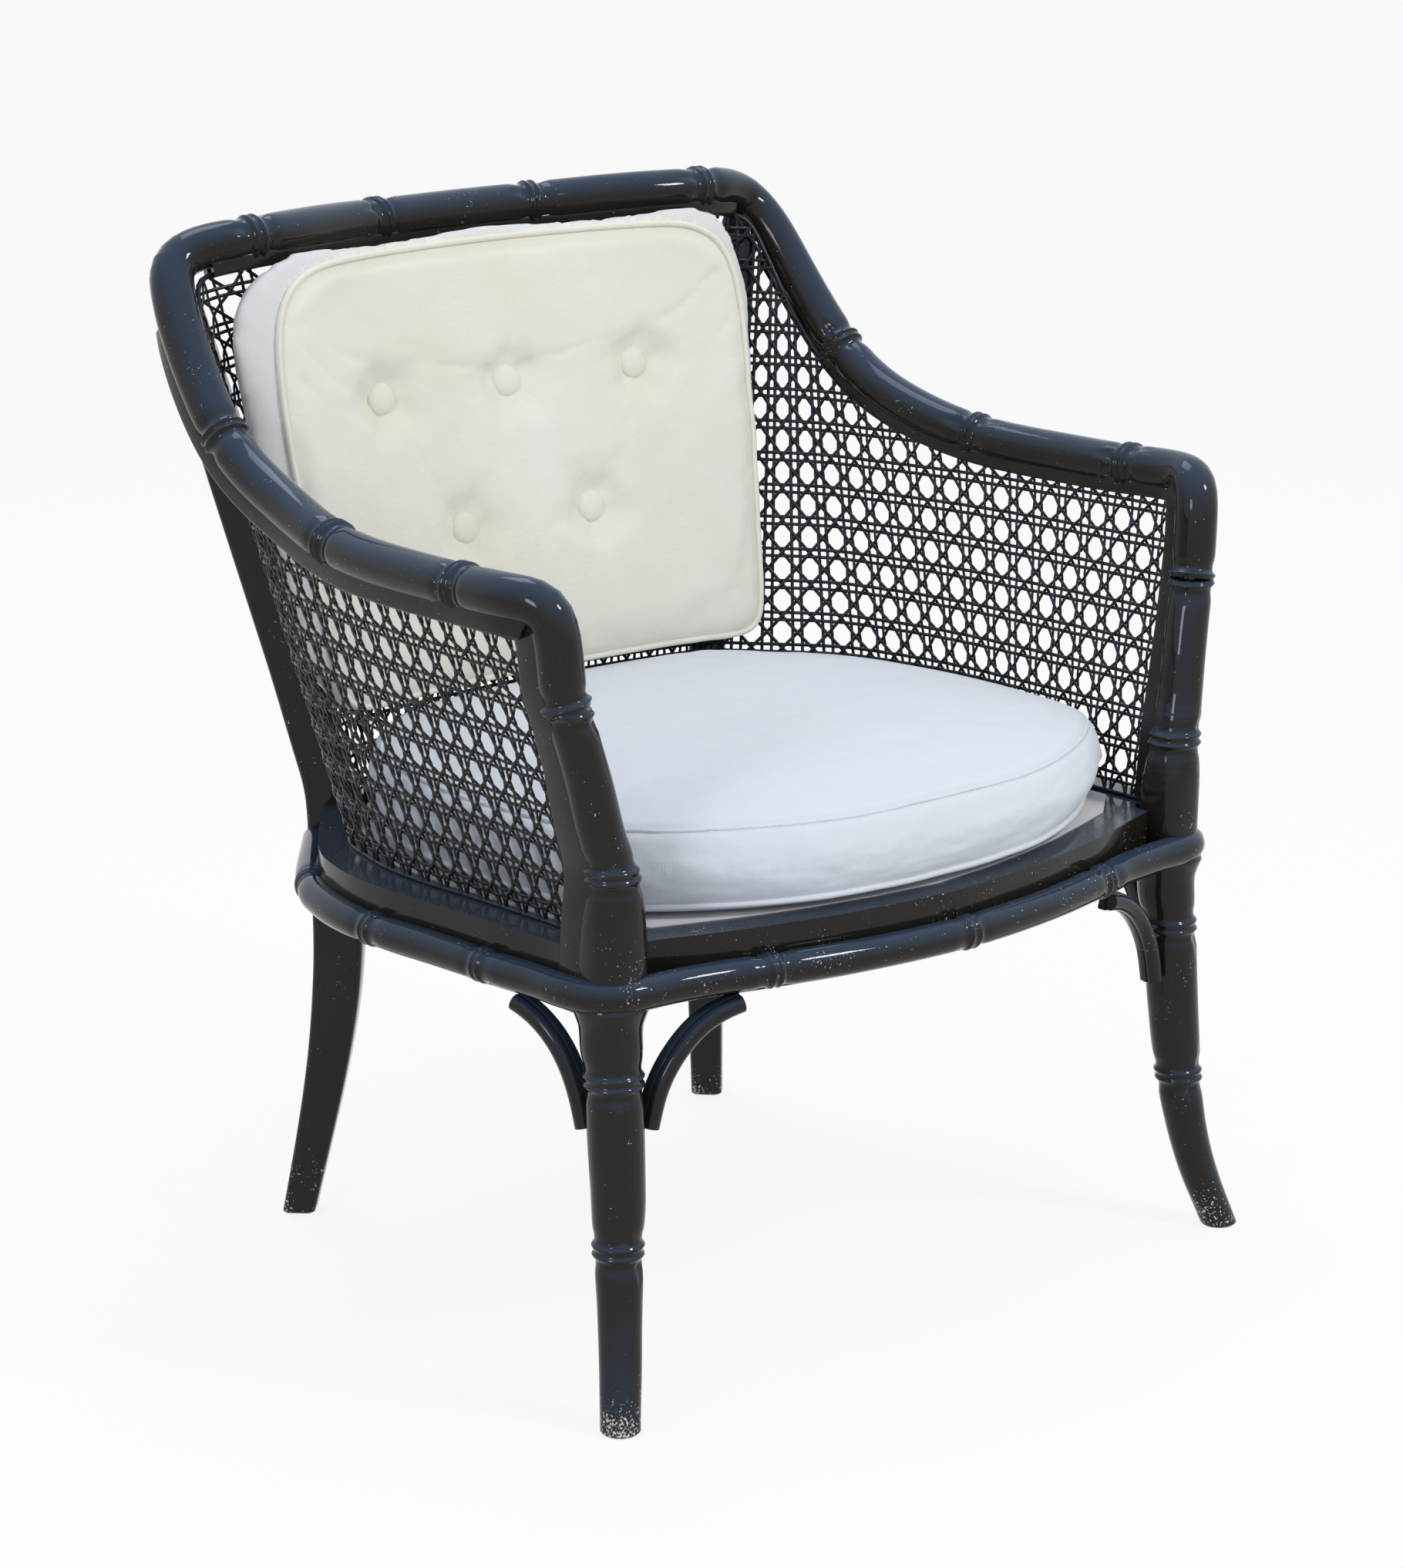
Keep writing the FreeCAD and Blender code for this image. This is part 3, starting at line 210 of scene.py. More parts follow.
@dataclass(frozen=True)
class GlossLacquer:
    """Black gloss lacquer, brushed and rubbed over turned beech: deep, mirror-like and faintly blue.

    Chips show the pale primer and the wood, most of them at the feet and at the seat block, and
    dust dulls the level tops of the seat rails. Faces that look up get a painted navy reflection of
    the sky in their colour, and the warm base colour is partly a painted reflection of sunlit ground.
    """

    name: str = "gloss_lacquer"
    # colour and haze: the lacquer's near black, lifted and warmed by a painted reflection of the sunlit
    # ground.
    colour: str = "#1d1a14"
    haze: str = "#242019"
    # sky: a painted navy reflection of the sky, mixed into the colour of faces that look up.
    sky: str = "#2e4055"
    dust: str = "#4c4e50"
    primer: str = "#e4e4e0"
    wood: str = "#b3a48b"
    tint: str = "#eef2ff"
    shine: float = 0.26
    ior: float = 1.46
    roughness: float = 0.07
    dull: float = 0.38
    smear: Pair = (0.7, 1.4)
    smear_range: Pair = (0.3, 0.75)
    haze_mm: float = 71.4286
    sky_reflection_facing: Pair = (0.1, 0.8)
    sky_reflection_share: float = 0.8
    dusty: float = 0.62
    dust_tops: tuple[Pair, ...] = ((345.0, 339.0), (332.0, 335.0))
    dust_level: Pair = (0.93, 0.995)
    speck_mm: float = 1.6
    speck_range: Pair = (0.40, 0.66)
    speck_least: float = 0.25
    chipped: float = 1.0
    chip_mm: float = 1.8
    chip_edge: Pair = (0.75, 0.765)
    patch_mm: float = 29.4118
    patch_range: Pair = (0.3, 0.7)
    patch_sway: float = 0.075
    foot: Pair = (55.0, 4.0)
    foot_chips: float = 0.155
    block: tuple[Pair, ...] = ((292.0, 305.0), (378.0, 355.0))
    block_front: Pair = (-222.0, -240.0)
    block_chips: float = 0.035
    peel_mm: float = 9.0
    peel_depth_mm: float = 0.8
    peel_strength: float = 0.10

    def build(self) -> bpy.types.Material:
        """Make the lacquer's material.

        Returns:
            The material.
        """
        material, add = new_material(self.name)
        place = add("TexCoord", out="Object")
        height = add("SeparateXYZ", {0: place}, "Z")
        ahead = add("SeparateXYZ", {0: place}, "Y")
        facing = add("SeparateXYZ", {0: add("NewGeometry", out="Normal")}, "Z")
        cloud, grit, patch, worn, peel = (
            add("TexNoise", {"Vector": place, "Scale": 1.0 / (mm * MM), "Detail": detail, "Roughness": rough})
            for mm, detail, rough in ((self.haze_mm, 4.0, 0.5), (self.speck_mm, 2.0, 0.5),
                                      (self.patch_mm, 1.0, 0.5), (self.chip_mm, 3.0, 0.55),
                                      (self.peel_mm, 2.0, 0.5)))
        colour = add("Mix", {0: cloud, 6: srgb(self.colour), 7: srgb(self.haze)}, 2, data_type="RGBA")
        # Painted sky reflection: faces that look up take the navy sky colour.
        low, high = self.sky_reflection_facing
        painted_sky_reflection = add("MapRange", {0: facing, 1: low, 2: high, 4: self.sky_reflection_share})
        colour = add("Mix", {0: painted_sky_reflection, 6: colour, 7: srgb(self.sky)}, 2, data_type="RGBA")

        low, high = self.speck_range
        dusty = add("MapRange", {0: grit, 1: low, 2: high, 3: self.speck_least * self.dusty, 4: self.dusty})
        low, high = self.dust_level
        tops = [add("MapRange", {0: height, 1: a * MM, 2: b * MM}) for a, b in self.dust_tops]
        for part in (*tops, add("MapRange", {0: facing, 1: low, 2: high})):
            dusty = add("Math", {0: dusty, 1: part}, operation="MULTIPLY")
        colour = add("Mix", {0: dusty, 6: colour, 7: srgb(self.dust)}, 2, data_type="RGBA")

        low, high = self.foot
        foot = add("MapRange", {0: height, 1: low * MM, 2: high * MM, 4: self.foot_chips})
        low, high = self.block_front
        block = add("MapRange", {0: ahead, 1: low * MM, 2: high * MM, 4: self.block_chips})
        for low, high in self.block:
            level = add("MapRange", {0: height, 1: low * MM, 2: high * MM})
            block = add("Math", {0: block, 1: level}, operation="MULTIPLY")
        low, high = self.patch_range
        patchy = add("MapRange", {0: patch, 1: low, 2: high, 3: -self.patch_sway, 4: self.patch_sway})
        for part in (foot, block, patchy):
            worn = add("Math", {0: worn, 1: part}, operation="ADD")
        low, high = self.chip_edge
        chips = add("MapRange", {0: worn, 1: low, 2: high, 4: self.chipped})
        bare = add("Mix", {0: patch, 6: srgb(self.primer), 7: srgb(self.wood)}, 2, data_type="RGBA")
        colour = add("Mix", {0: chips, 6: colour, 7: bare}, 2, data_type="RGBA")

        dulled = add("Math", {0: dusty, 1: chips}, operation="MAXIMUM")
        (low, high), (least, most) = self.smear_range, self.smear
        smear = add("MapRange", {0: cloud, 1: low, 2: high, 3: self.roughness * least,
                                 4: self.roughness * most})
        rough = add("Mix", {0: dulled, 2: smear, 3: self.dull})
        depth = add("Math", {0: peel, 1: chips}, operation="SUBTRACT")
        bump = add("Bump", {"Height": depth, "Strength": self.peel_strength,
                            "Distance": self.peel_depth_mm * MM})
        shader = add("BsdfPrincipled", {
            "Base Color": colour, "Roughness": rough, "Normal": bump, "IOR": self.ior,
            "Specular IOR Level": self.shine, "Specular Tint": srgb(self.tint)})
        add("OutputMaterial", {"Surface": shader})
        return material


@dataclass(frozen=True)
class CottonCloth:
    """Plain-woven cotton, washed and a little stained: soft and matt, with a fine grain of threads.

    The real threads lie about 0.4 mm apart, too fine to show here, so they are drawn wider.
    """

    name: str
    colour: str
    stain: str
    shade: str
    stained: float = 0.5
    thread_mm: float = 1.5
    thread_depth_mm: float = 0.3
    stain_mm: float = 160.0
    stain_range: Pair = (0.38, 0.72)
    slub_mm: float = 1.42857
    slub_range: Pair = (0.35, 0.75)
    slub_share: float = 0.12
    rumple_mm: float = 26.3158
    rumple_depth_mm: float = 4.0
    roughness: float = 0.86
    ior: float = 1.45
    sheen: float = 0.08

    def build(self) -> bpy.types.Material:
        """Make the cloth's material.

        Returns:
            The material.
        """
        material, add = new_material(self.name)
        place = add("TexCoord", out="Object")
        colour = srgb(self.colour)
        blot = add("TexNoise", {"Vector": place, "Scale": 1.0 / (self.stain_mm * MM), "Detail": 3.0,
                                "Distortion": 0.4})
        slub = add("TexNoise", {"Vector": place, "Scale": 1.0 / (self.slub_mm * MM), "Detail": 2.0})
        for value, (low, high), share, other in ((blot, self.stain_range, self.stained, self.stain),
                                                 (slub, self.slub_range, self.slub_share, self.shade)):
            much = add("MapRange", {0: value, 1: low, 2: high, 4: share})
            colour = add("Mix", {0: much, 6: colour, 7: srgb(other)}, 2, data_type="RGBA")
        # Wave bands of scale s repeat every pi / (10 s) metres.
        scale = math.pi / (10.0 * self.thread_mm * MM)
        weave = None
        for axis in "XYZ":
            threads = add("TexWave", {"Vector": place, "Scale": scale, "Distortion": 0.6, "Detail": 1.0,
                                      "Detail Scale": 3.0}, "Fac", wave_type="BANDS", bands_direction=axis)
            weave = threads if weave is None else add("Math", {0: weave, 1: threads}, operation="ADD")
        fine = add("Bump", {"Height": weave, "Strength": 0.12, "Distance": self.thread_depth_mm * MM})
        rumples = add("TexNoise", {"Vector": place, "Scale": 1.0 / (self.rumple_mm * MM), "Detail": 3.0,
                                   "Roughness": 0.5})
        bump = add("Bump", {"Height": rumples, "Strength": 0.16, "Distance": self.rumple_depth_mm * MM,
                            "Normal": fine})
        shader = add("BsdfPrincipled", {
            "Base Color": colour, "Roughness": self.roughness, "Normal": bump, "IOR": self.ior,
            "Specular IOR Level": 0.25, "Sheen Weight": self.sheen, "Sheen Roughness": 0.4})
        add("OutputMaterial", {"Surface": shader})
        return material


@dataclass(frozen=True)
class BareTimber:
    """Unfinished sawn timber or plywood under the seat: dry, with long grain lines."""

    name: str
    colour: str
    grain: str
    grain_mm: float = 5.0
    stretch: float = 14.0
    roughness: float = 0.75
    ior: float = 1.5

    def build(self) -> bpy.types.Material:
        """Make the timber's material.

        Returns:
            The material.
        """
        material, add = new_material(self.name)
        along = add("Mapping", {"Vector": add("TexCoord", out="Object"),
                                "Scale": (1.0, self.stretch, self.stretch)})
        # Across the grain the noise is stretch times finer, so its lines lie about grain_mm apart.
        lines = add("TexNoise", {"Vector": along, "Scale": 0.98 / (self.stretch * self.grain_mm * MM),
                                 "Detail": 6.0, "Distortion": 0.5})
        colour = add("Mix", {0: lines, 6: srgb(self.colour), 7: srgb(self.grain)}, 2, data_type="RGBA")
        bump = add("Bump", {"Height": lines, "Strength": 0.3, "Distance": 0.6 * MM})
        shader = add("BsdfPrincipled", {
            "Base Color": colour, "Roughness": self.roughness, "Normal": bump, "IOR": self.ior})
        add("OutputMaterial", {"Surface": shader})
        return material


@dataclass(frozen=True)
class ZincPlate:
    """Zinc-plated steel of the screws: pale grey, brushed by the driver."""

    name: str = "zinc_plate"
    colour: str = "#a9adb0"
    roughness: float = 0.34
    scratched: float = 0.2
    scratch_mm: float = 0.8

    def build(self) -> bpy.types.Material:
        """Make the plating's material.

        Returns:
            The material.
        """
        material, add = new_material(self.name)
        marks = add("TexNoise", {"Vector": add("TexCoord", out="Object"),
                                 "Scale": 1.0 / (self.scratch_mm * MM)})
        rough = add("MapRange", {0: marks, 3: self.roughness, 4: self.roughness + self.scratched})
        shader = add("BsdfPrincipled", {"Base Color": srgb(self.colour), "Metallic": 1.0,
                                        "Roughness": rough})
        add("OutputMaterial", {"Surface": shader})
        return material


@dataclass(frozen=True)
class Dress:
    """What a piece wears, the name of its slot in the record, which nothing here reads, and the body that it
    rides on.
    """

    material: bpy.types.Material
    slot: str
    body: str

    def put_on(self, piece: bpy.types.Object, *nodes: str) -> None:
        """Dress a piece and let it stand for its nodes.

        Args:
            piece: The piece.
            nodes: The nodes that it replaces.
        """
        piece.data.materials.append(self.material)
        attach(piece, self.body)
        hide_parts(*nodes)
        log.info("%s with %d faces, for %s", piece.name, len(piece.data.polygons), ", ".join(nodes))


def unit(v: np.ndarray) -> np.ndarray:
    """Rows of v with length one."""
    return v / np.linalg.norm(v, axis=-1, keepdims=True)


def mirrored(points: np.ndarray) -> np.ndarray:
    """Points on the other side of the chair."""
    return points * np.array([-1.0, 1.0, 1.0])


def arc_lengths(points: np.ndarray) -> np.ndarray:
    """Length of a path up to each of its points."""
    return np.concatenate([[0.0], np.cumsum(np.linalg.norm(np.diff(points, axis=0), axis=1))])


def ramp(values: np.ndarray, start: float | np.ndarray, end: float | np.ndarray) -> np.ndarray:
    """Zero up to the start, one past the end, and straight between them."""
    return np.clip((values - start) / (end - start), 0.0, 1.0)


def between(pair: Pair, k: np.ndarray) -> np.ndarray:
    """The pair's first value at zero, its second at one, and straight between them."""
    return pair[0] + (pair[1] - pair[0]) * k


def eased(k: np.ndarray) -> np.ndarray:
    """Values from zero to one with a soft start and a soft end."""
    return k * k * (3.0 - 2.0 * k)


def bell(values: np.ndarray, middle: float | np.ndarray, width: float | np.ndarray) -> np.ndarray:
    """One at the middle, 1/e at a width from it."""
    return np.exp(-((values - middle) / width) ** 2)


def smoothed(values: np.ndarray, times: int) -> np.ndarray:
    """Values in a row with their steps softened.

    Args:
        values: The values.
        times: How often each is mixed with its neighbours.

    Returns:
        As many values.
    """
    for _ in range(times):
        values = np.convolve(np.pad(values, 1, mode="edge"), (0.25, 0.5, 0.25), mode="valid")
    return values


def spokes(side: np.ndarray, up: np.ndarray, turns: int) -> np.ndarray:
    """Directions all round each section of a piece.

    Args:
        side: First direction of each section.
        up: The direction a quarter turn on.
        turns: Directions in a section.

    Returns:
        Array of sections, directions and coordinates.
    """
    angle = np.linspace(0.0, TURN, turns, endpoint=False)[:, None]
    return side[:, None, :] * np.cos(angle) + up[:, None, :] * np.sin(angle)


class SmoothLine:
    """Smooth open curve through points, with its places given by length in millimetres."""

    def __init__(self, points: Points) -> None:
        """Fit a natural cubic spline.

        Args:
            points: The points that it goes through.
        """
        p = np.asarray(points, float)
        t = np.concatenate([[0.0], np.cumsum(np.sqrt(np.linalg.norm(np.diff(p, axis=0), axis=1)))])
        n, h = len(t), np.diff(t)
        system, target = np.eye(n), np.zeros_like(p)
        for i in range(1, n - 1):
            system[i, i - 1:i + 2] = (h[i - 1], 2.0 * (h[i - 1] + h[i]), h[i])
            target[i] = 6.0 * ((p[i + 1] - p[i]) / h[i] - (p[i] - p[i - 1]) / h[i - 1])
        bend = np.linalg.solve(system, target)
        u = np.linspace(0.0, t[-1], 80 * n)
        i = np.clip(np.searchsorted(t, u, side="right") - 1, 0, n - 2)
        a, b = ((t[i + 1] - u) / h[i])[:, None], ((u - t[i]) / h[i])[:, None]
        curve = (a ** 3 - a) * bend[i] + (b ** 3 - b) * bend[i + 1]
        self.points = a * p[i] + b * p[i + 1] + curve * (h[i] ** 2)[:, None] / 6.0
        self.at = arc_lengths(self.points)
        self.knots = np.interp(t, u, self.at)

    @classmethod
    def straight(cls, points: np.ndarray) -> "SmoothLine":
        """Line of straight runs.

        Args:
            points: Close points on it.

        Returns:
            The line.
        """
        line = cls(points[:2])
        line.points, line.at = points, arc_lengths(points)
        return line

    @property
    def length(self) -> float:
        """Length of the curve."""
        return float(self.at[-1])

    def places(self, s: np.ndarray) -> np.ndarray:
        """Points at the given lengths."""
        return np.stack([np.interp(s, self.at, row) for row in self.points.T], -1)

    def directions(self, s: np.ndarray, reach: float = 1.5) -> np.ndarray:
        """Unit tangents at the given lengths."""
        return unit(self.places(np.minimum(s + reach, self.length)) - self.places(np.maximum(s - reach, 0.0)))

    def length_at(self, point: Sequence[float]) -> float:
        """Length of the place nearest to a point."""
        return float(self.at[np.argmin(np.linalg.norm(self.points - np.asarray(point), axis=1))])


def both_halves(right: Points) -> SmoothLine:
    """Line from its right end over the middle to the left end."""
    return SmoothLine([*right, *((-x, y, z) for x, y, z in reversed(right[:-1]))])


def ring_path(right: Points, count: int) -> np.ndarray:
    """Even points round a closed smooth line.

    Args:
        right: The line's right half, from middle to middle.
        count: How many points it gets.

    Returns:
        The points, without the first one repeated.
    """
    p = np.asarray(right, float)
    p = np.concatenate([p, mirrored(p[-2:0:-1])])
    whole = SmoothLine(np.concatenate([p[-3:], p, p[:4]]))
    turn = whole.points[(whole.at >= whole.knots[3]) & (whole.at < whole.knots[3 + len(p)])]
    line = SmoothLine.straight(np.concatenate([turn, turn[:1]]))
    return line.places(np.linspace(0.0, line.length, count, endpoint=False))


def offset_plan(points: Points, distance: float) -> list[Pair]:
    """Plan points moved to the left of their direction of travel.

    Args:
        points: Plan points in order.
        distance: How far they move, negative to the right.

    Returns:
        The moved points.
    """
    moved = []
    for (x0, y0), (x, y), (x1, y1) in zip(points[:1] + points, points, points[1:] + points[-1:]):
        n = math.hypot(x1 - x0, y1 - y0)
        moved.append((x - (y1 - y0) / n * distance, y + (x1 - x0) / n * distance))
    return moved


class Shell:
    """Vertices and faces of one piece, gathered part by part in drawn millimetres."""

    def __init__(self) -> None:
        """Start an empty piece."""
        self.points: list[np.ndarray] = []
        self.faces: list[tuple[int, ...]] = []
        self.count = 0

    def add_rings(self, rings: np.ndarray, closed: bool = False) -> None:
        """Add a skin through rings of equal size, capped at both ends unless it closes on itself.

        Args:
            rings: Array of rings, points and coordinates.
            closed: Whether the last ring joins the first.
        """
        n, m = rings.shape[:2]
        base = self.count
        self.points.append(rings.reshape(-1, 3))
        self.count += n * m
        for i in range(n if closed else n - 1):
            a, b = base + i * m, base + ((i + 1) % n) * m
            for j in range(m):
                k = (j + 1) % m
                self.faces.append((a + j, a + k, b + k, b + j))
        if not closed:
            self.faces.append(tuple(base + j for j in reversed(range(m))))
            self.faces.append(tuple(base + (n - 1) * m + j for j in range(m)))

    def add_cord(self, path: np.ndarray, radius: float, turns: int = 12) -> None:
        """Add a round cord on a closed path.

        Args:
            path: Points of the path.
            radius: The cord's radius.
            turns: Points round it.
        """
        t = unit(np.roll(path, -1, axis=0) - np.roll(path, 1, axis=0))
        side = unit(np.cross(t, path - path.mean(axis=0)))
        self.add_rings(path[:, None, :] + spokes(side, np.cross(t, side), turns) * radius, closed=True)

    def finish(self, name: str, dress: Dress, nodes: Sequence[str], crease: float,
               side: Side = Side.BOTH) -> None:
        """Make the piece, in metres in the chair's frame, and dress it.

        Args:
            name: Name of the piece.
            dress: What it wears and rides on.
            nodes: The nodes that it stands for.
            crease: Angle in degrees above which an edge is sharp.
            side: Which half it belongs to; the left one is mirrored.
        """
        points, faces = np.concatenate(self.points), self.faces
        if side is Side.LEFT:
            points, faces = mirrored(points), [face[::-1] for face in faces]
        mesh = bpy.data.meshes.new(name)
        mesh.from_pydata(((points + DRAWN_SHIFT) * MM).tolist(), [], faces)
        mesh.validate()
        mesh.shade_smooth()
        mesh.set_sharp_from_angle(angle=math.radians(crease))
        made = bpy.data.objects.new(name, mesh)
        bpy.context.scene.collection.objects.link(made)
        dress.put_on(made, *nodes)


@dataclass(frozen=True)
class NodeRing:
    """The turned ring that copies a bamboo node: two ridges, a groove, a pinch each side and a bud."""

    ridge: float = 2.1
    ridge_at: float = 3.3
    ridge_width: float = 1.9
    pinch: float = 1.4
    pinch_at: float = 9.0
    pinch_width: float = 5.5
    bud_depth: float = 1.7
    bud_start: float = 7.0
    bud_end: float = 30.0
    bud_width: float = 4.6
    bud_taper: float = 0.75
    bud_head: float = 7.0
    bud_tail: float = 0.7
    lip_height: float = 0.30
    lip_at: float = 1.9
    lip_width: float = 0.6
    stops: tuple[Pair, ...] = ((16.0, 0.8), (34.0, 2.0))
    least_gap: float = 0.35

    def change(self, offset: np.ndarray, scale: float) -> np.ndarray:
        """How far the surface stands out near a ring.

        Args:
            offset: Distance of each section from the ring's middle.
            scale: Size of the ring against the one on the arms.

        Returns:
            The change of radius.
        """
        d = np.abs(offset)
        up = self.ridge * bell(d, self.ridge_at, self.ridge_width)
        return scale * (up - self.pinch * bell(d, self.pinch_at, self.pinch_width))

    def bud(self, offset: np.ndarray, angle: np.ndarray, at: float, radius: float,
            scale: float) -> np.ndarray:
        """Depth of the teardrop notch beside a ring.

        Args:
            offset: Distance of each section from the ring, positive on the bud's side.
            angle: Angle of each point of a section.
            at: Angle of the bud in degrees.
            radius: Radius of the rail.
            scale: Size against the one on the arms.

        Returns:
            The depth for each section and point, zero away from the bud.
        """
        arc = ((angle - math.radians(at) + math.pi) % TURN - math.pi) * radius
        k = ramp(offset[:, None] / scale, self.bud_start, self.bud_end)
        width = self.bud_width * scale * (1.0 - self.bud_taper * k)
        lengthwise = np.clip(k * self.bud_head, 0.0, 1.0) * (1.0 - k) ** self.bud_tail
        lip = self.lip_height * bell(np.abs(arc), self.lip_at * width, self.lip_width * width)
        return self.bud_depth * scale * lengthwise * (bell(arc, 0.0, width) - lip)

    def sections(self, start: float, end: float, rings: Sequence[float], coarse: float) -> np.ndarray:
        """Places of the sections along a rail, close together at its rings.

        Args:
            start: First length.
            end: Last length.
            rings: Lengths of the rings.
            coarse: Spacing away from the rings.

        Returns:
            Sorted lengths.
        """
        places = [np.linspace(start, end, max(int((end - start) / coarse), 2))]
        places += [np.arange(ring - far, ring + far, step) for ring in rings for far, step in self.stops]
        s = np.unique(np.round(np.concatenate(places), 2))
        s = s[(s > start + 0.4) & (s < end - 0.4)]
        s = s[np.concatenate([[True], np.diff(s) > self.least_gap])]
        return np.concatenate([[start], s, [end]])


RING = NodeRing()


@dataclass
class TurnedRail:
    """A round rail along a smooth line, with node rings and buds.

    A bud is (ring number, side of the ring, angle round the rail in degrees from the hint).
    """

    line: SmoothLine
    rings: list[float]
    buds: list[tuple[int, int, float]]
    hint: np.ndarray
    start: float
    end: float
    radius: float = 16.5
    ring_scale: float = 1.0
    turns: int = 44
    coarse: float = 7.0
    ripple: float = 0.12
    ripple_length: float = 23.0

    def add_to(self, shell: Shell) -> None:
        """Add the rail's skin to a piece.

        Args:
            shell: The piece that gets the skin.
        """
        s = RING.sections(self.start, self.end, self.rings, self.coarse)
        centre, t = self.line.places(s), self.line.directions(s)
        u = unit(self.hint - t * (t @ self.hint)[:, None])
        angle = np.linspace(0.0, TURN, self.turns, endpoint=False)
        r = self.radius + self.ripple * np.sin(s / self.ripple_length)[:, None] * np.cos(2.0 * angle)
        for ring in self.rings:
            r += RING.change(s - ring, self.ring_scale)[:, None]
        for number, way, at in self.buds:
            r -= RING.bud((s - self.rings[number]) * way, angle, at, self.radius, self.ring_scale)
        shell.add_rings(centre[:, None, :] + spokes(u, np.cross(t, u), self.turns) * r[:, :, None])


def rounded_bar(centre: np.ndarray, across: np.ndarray, up: np.ndarray, width: float | np.ndarray,
                height: float | np.ndarray, corner: float, steps: int = 5) -> np.ndarray:
    """Rings of a bar whose section is a rectangle with rounded corners.

    Args:
        centre: Centres of the sections.
        across: Unit directions of the width.
        up: Unit directions of the height.
        width: Full widths.
        height: Full heights.
        corner: Radius of the corners.
        steps: Points on each corner.

    Returns:
        The rings.
    """
    width, height = (np.broadcast_to(size, len(centre))[:, None] for size in (width, height))
    quarter = np.repeat(np.arange(4), steps)
    angle = np.radians(90.0 * quarter + np.tile(np.linspace(0.0, 90.0, steps), 4))
    x = np.array([1.0, -1.0, -1.0, 1.0])[quarter] * (width / 2.0 - corner) + corner * np.cos(angle)
    y = np.array([1.0, 1.0, -1.0, -1.0])[quarter] * (height / 2.0 - corner) + corner * np.sin(angle)
    return centre[:, None] + across[:, None] * x[:, :, None] + up[:, None] * y[:, :, None]


ARM = SmoothLine(ARM_LINE)
CREST = both_halves(CREST_LINE)
WHOLE = both_halves(ARM_LINE[:-1] + BACK_CORNER + CREST_LINE[2:])
SPLIT = WHOLE.length_at((287.0, 279.5, 751.5))
LEG_TABLE = np.array(LEG_LINE)
REAR_TABLE = np.array(REAR_LINE)
LEG = SmoothLine(LEG_TABLE[:, [1, 2, 0]])
REAR = SmoothLine(REAR_TABLE[:, [1, 2, 0]])


def across_rail(t: np.ndarray, out_hint: np.ndarray, hint: np.ndarray) -> tuple[np.ndarray, np.ndarray]:
    """Directions across a rail, towards the cane and out of the chair.

    Args:
        t: Directions of the rail.
        out_hint: Rough direction out of the chair.
        hint: Rough direction towards the cane.

    Returns:
        The two unit directions for each place.
    """
    down = unit(hint - t * np.sum(t * hint, axis=-1, keepdims=True))
    out = unit(np.cross(t, down))
    return down, out * np.where(np.sum(out * out_hint, axis=-1, keepdims=True) < 0.0, -1.0, 1.0)


def at_heights(line: SmoothLine, table: np.ndarray, z: np.ndarray) -> tuple[np.ndarray, ...]:
    """Centre and size of a leg at some heights.

    Args:
        line: The leg's line.
        table: Its heights and sizes.
        z: The wanted heights.

    Returns:
        The place in x, the place in y, and the size.
    """
    x, y, heights = line.points[np.argsort(line.points[:, 2])].T
    return np.interp(z, heights, x), np.interp(z, heights, y), np.interp(z, table[:, 0], table[:, 3])


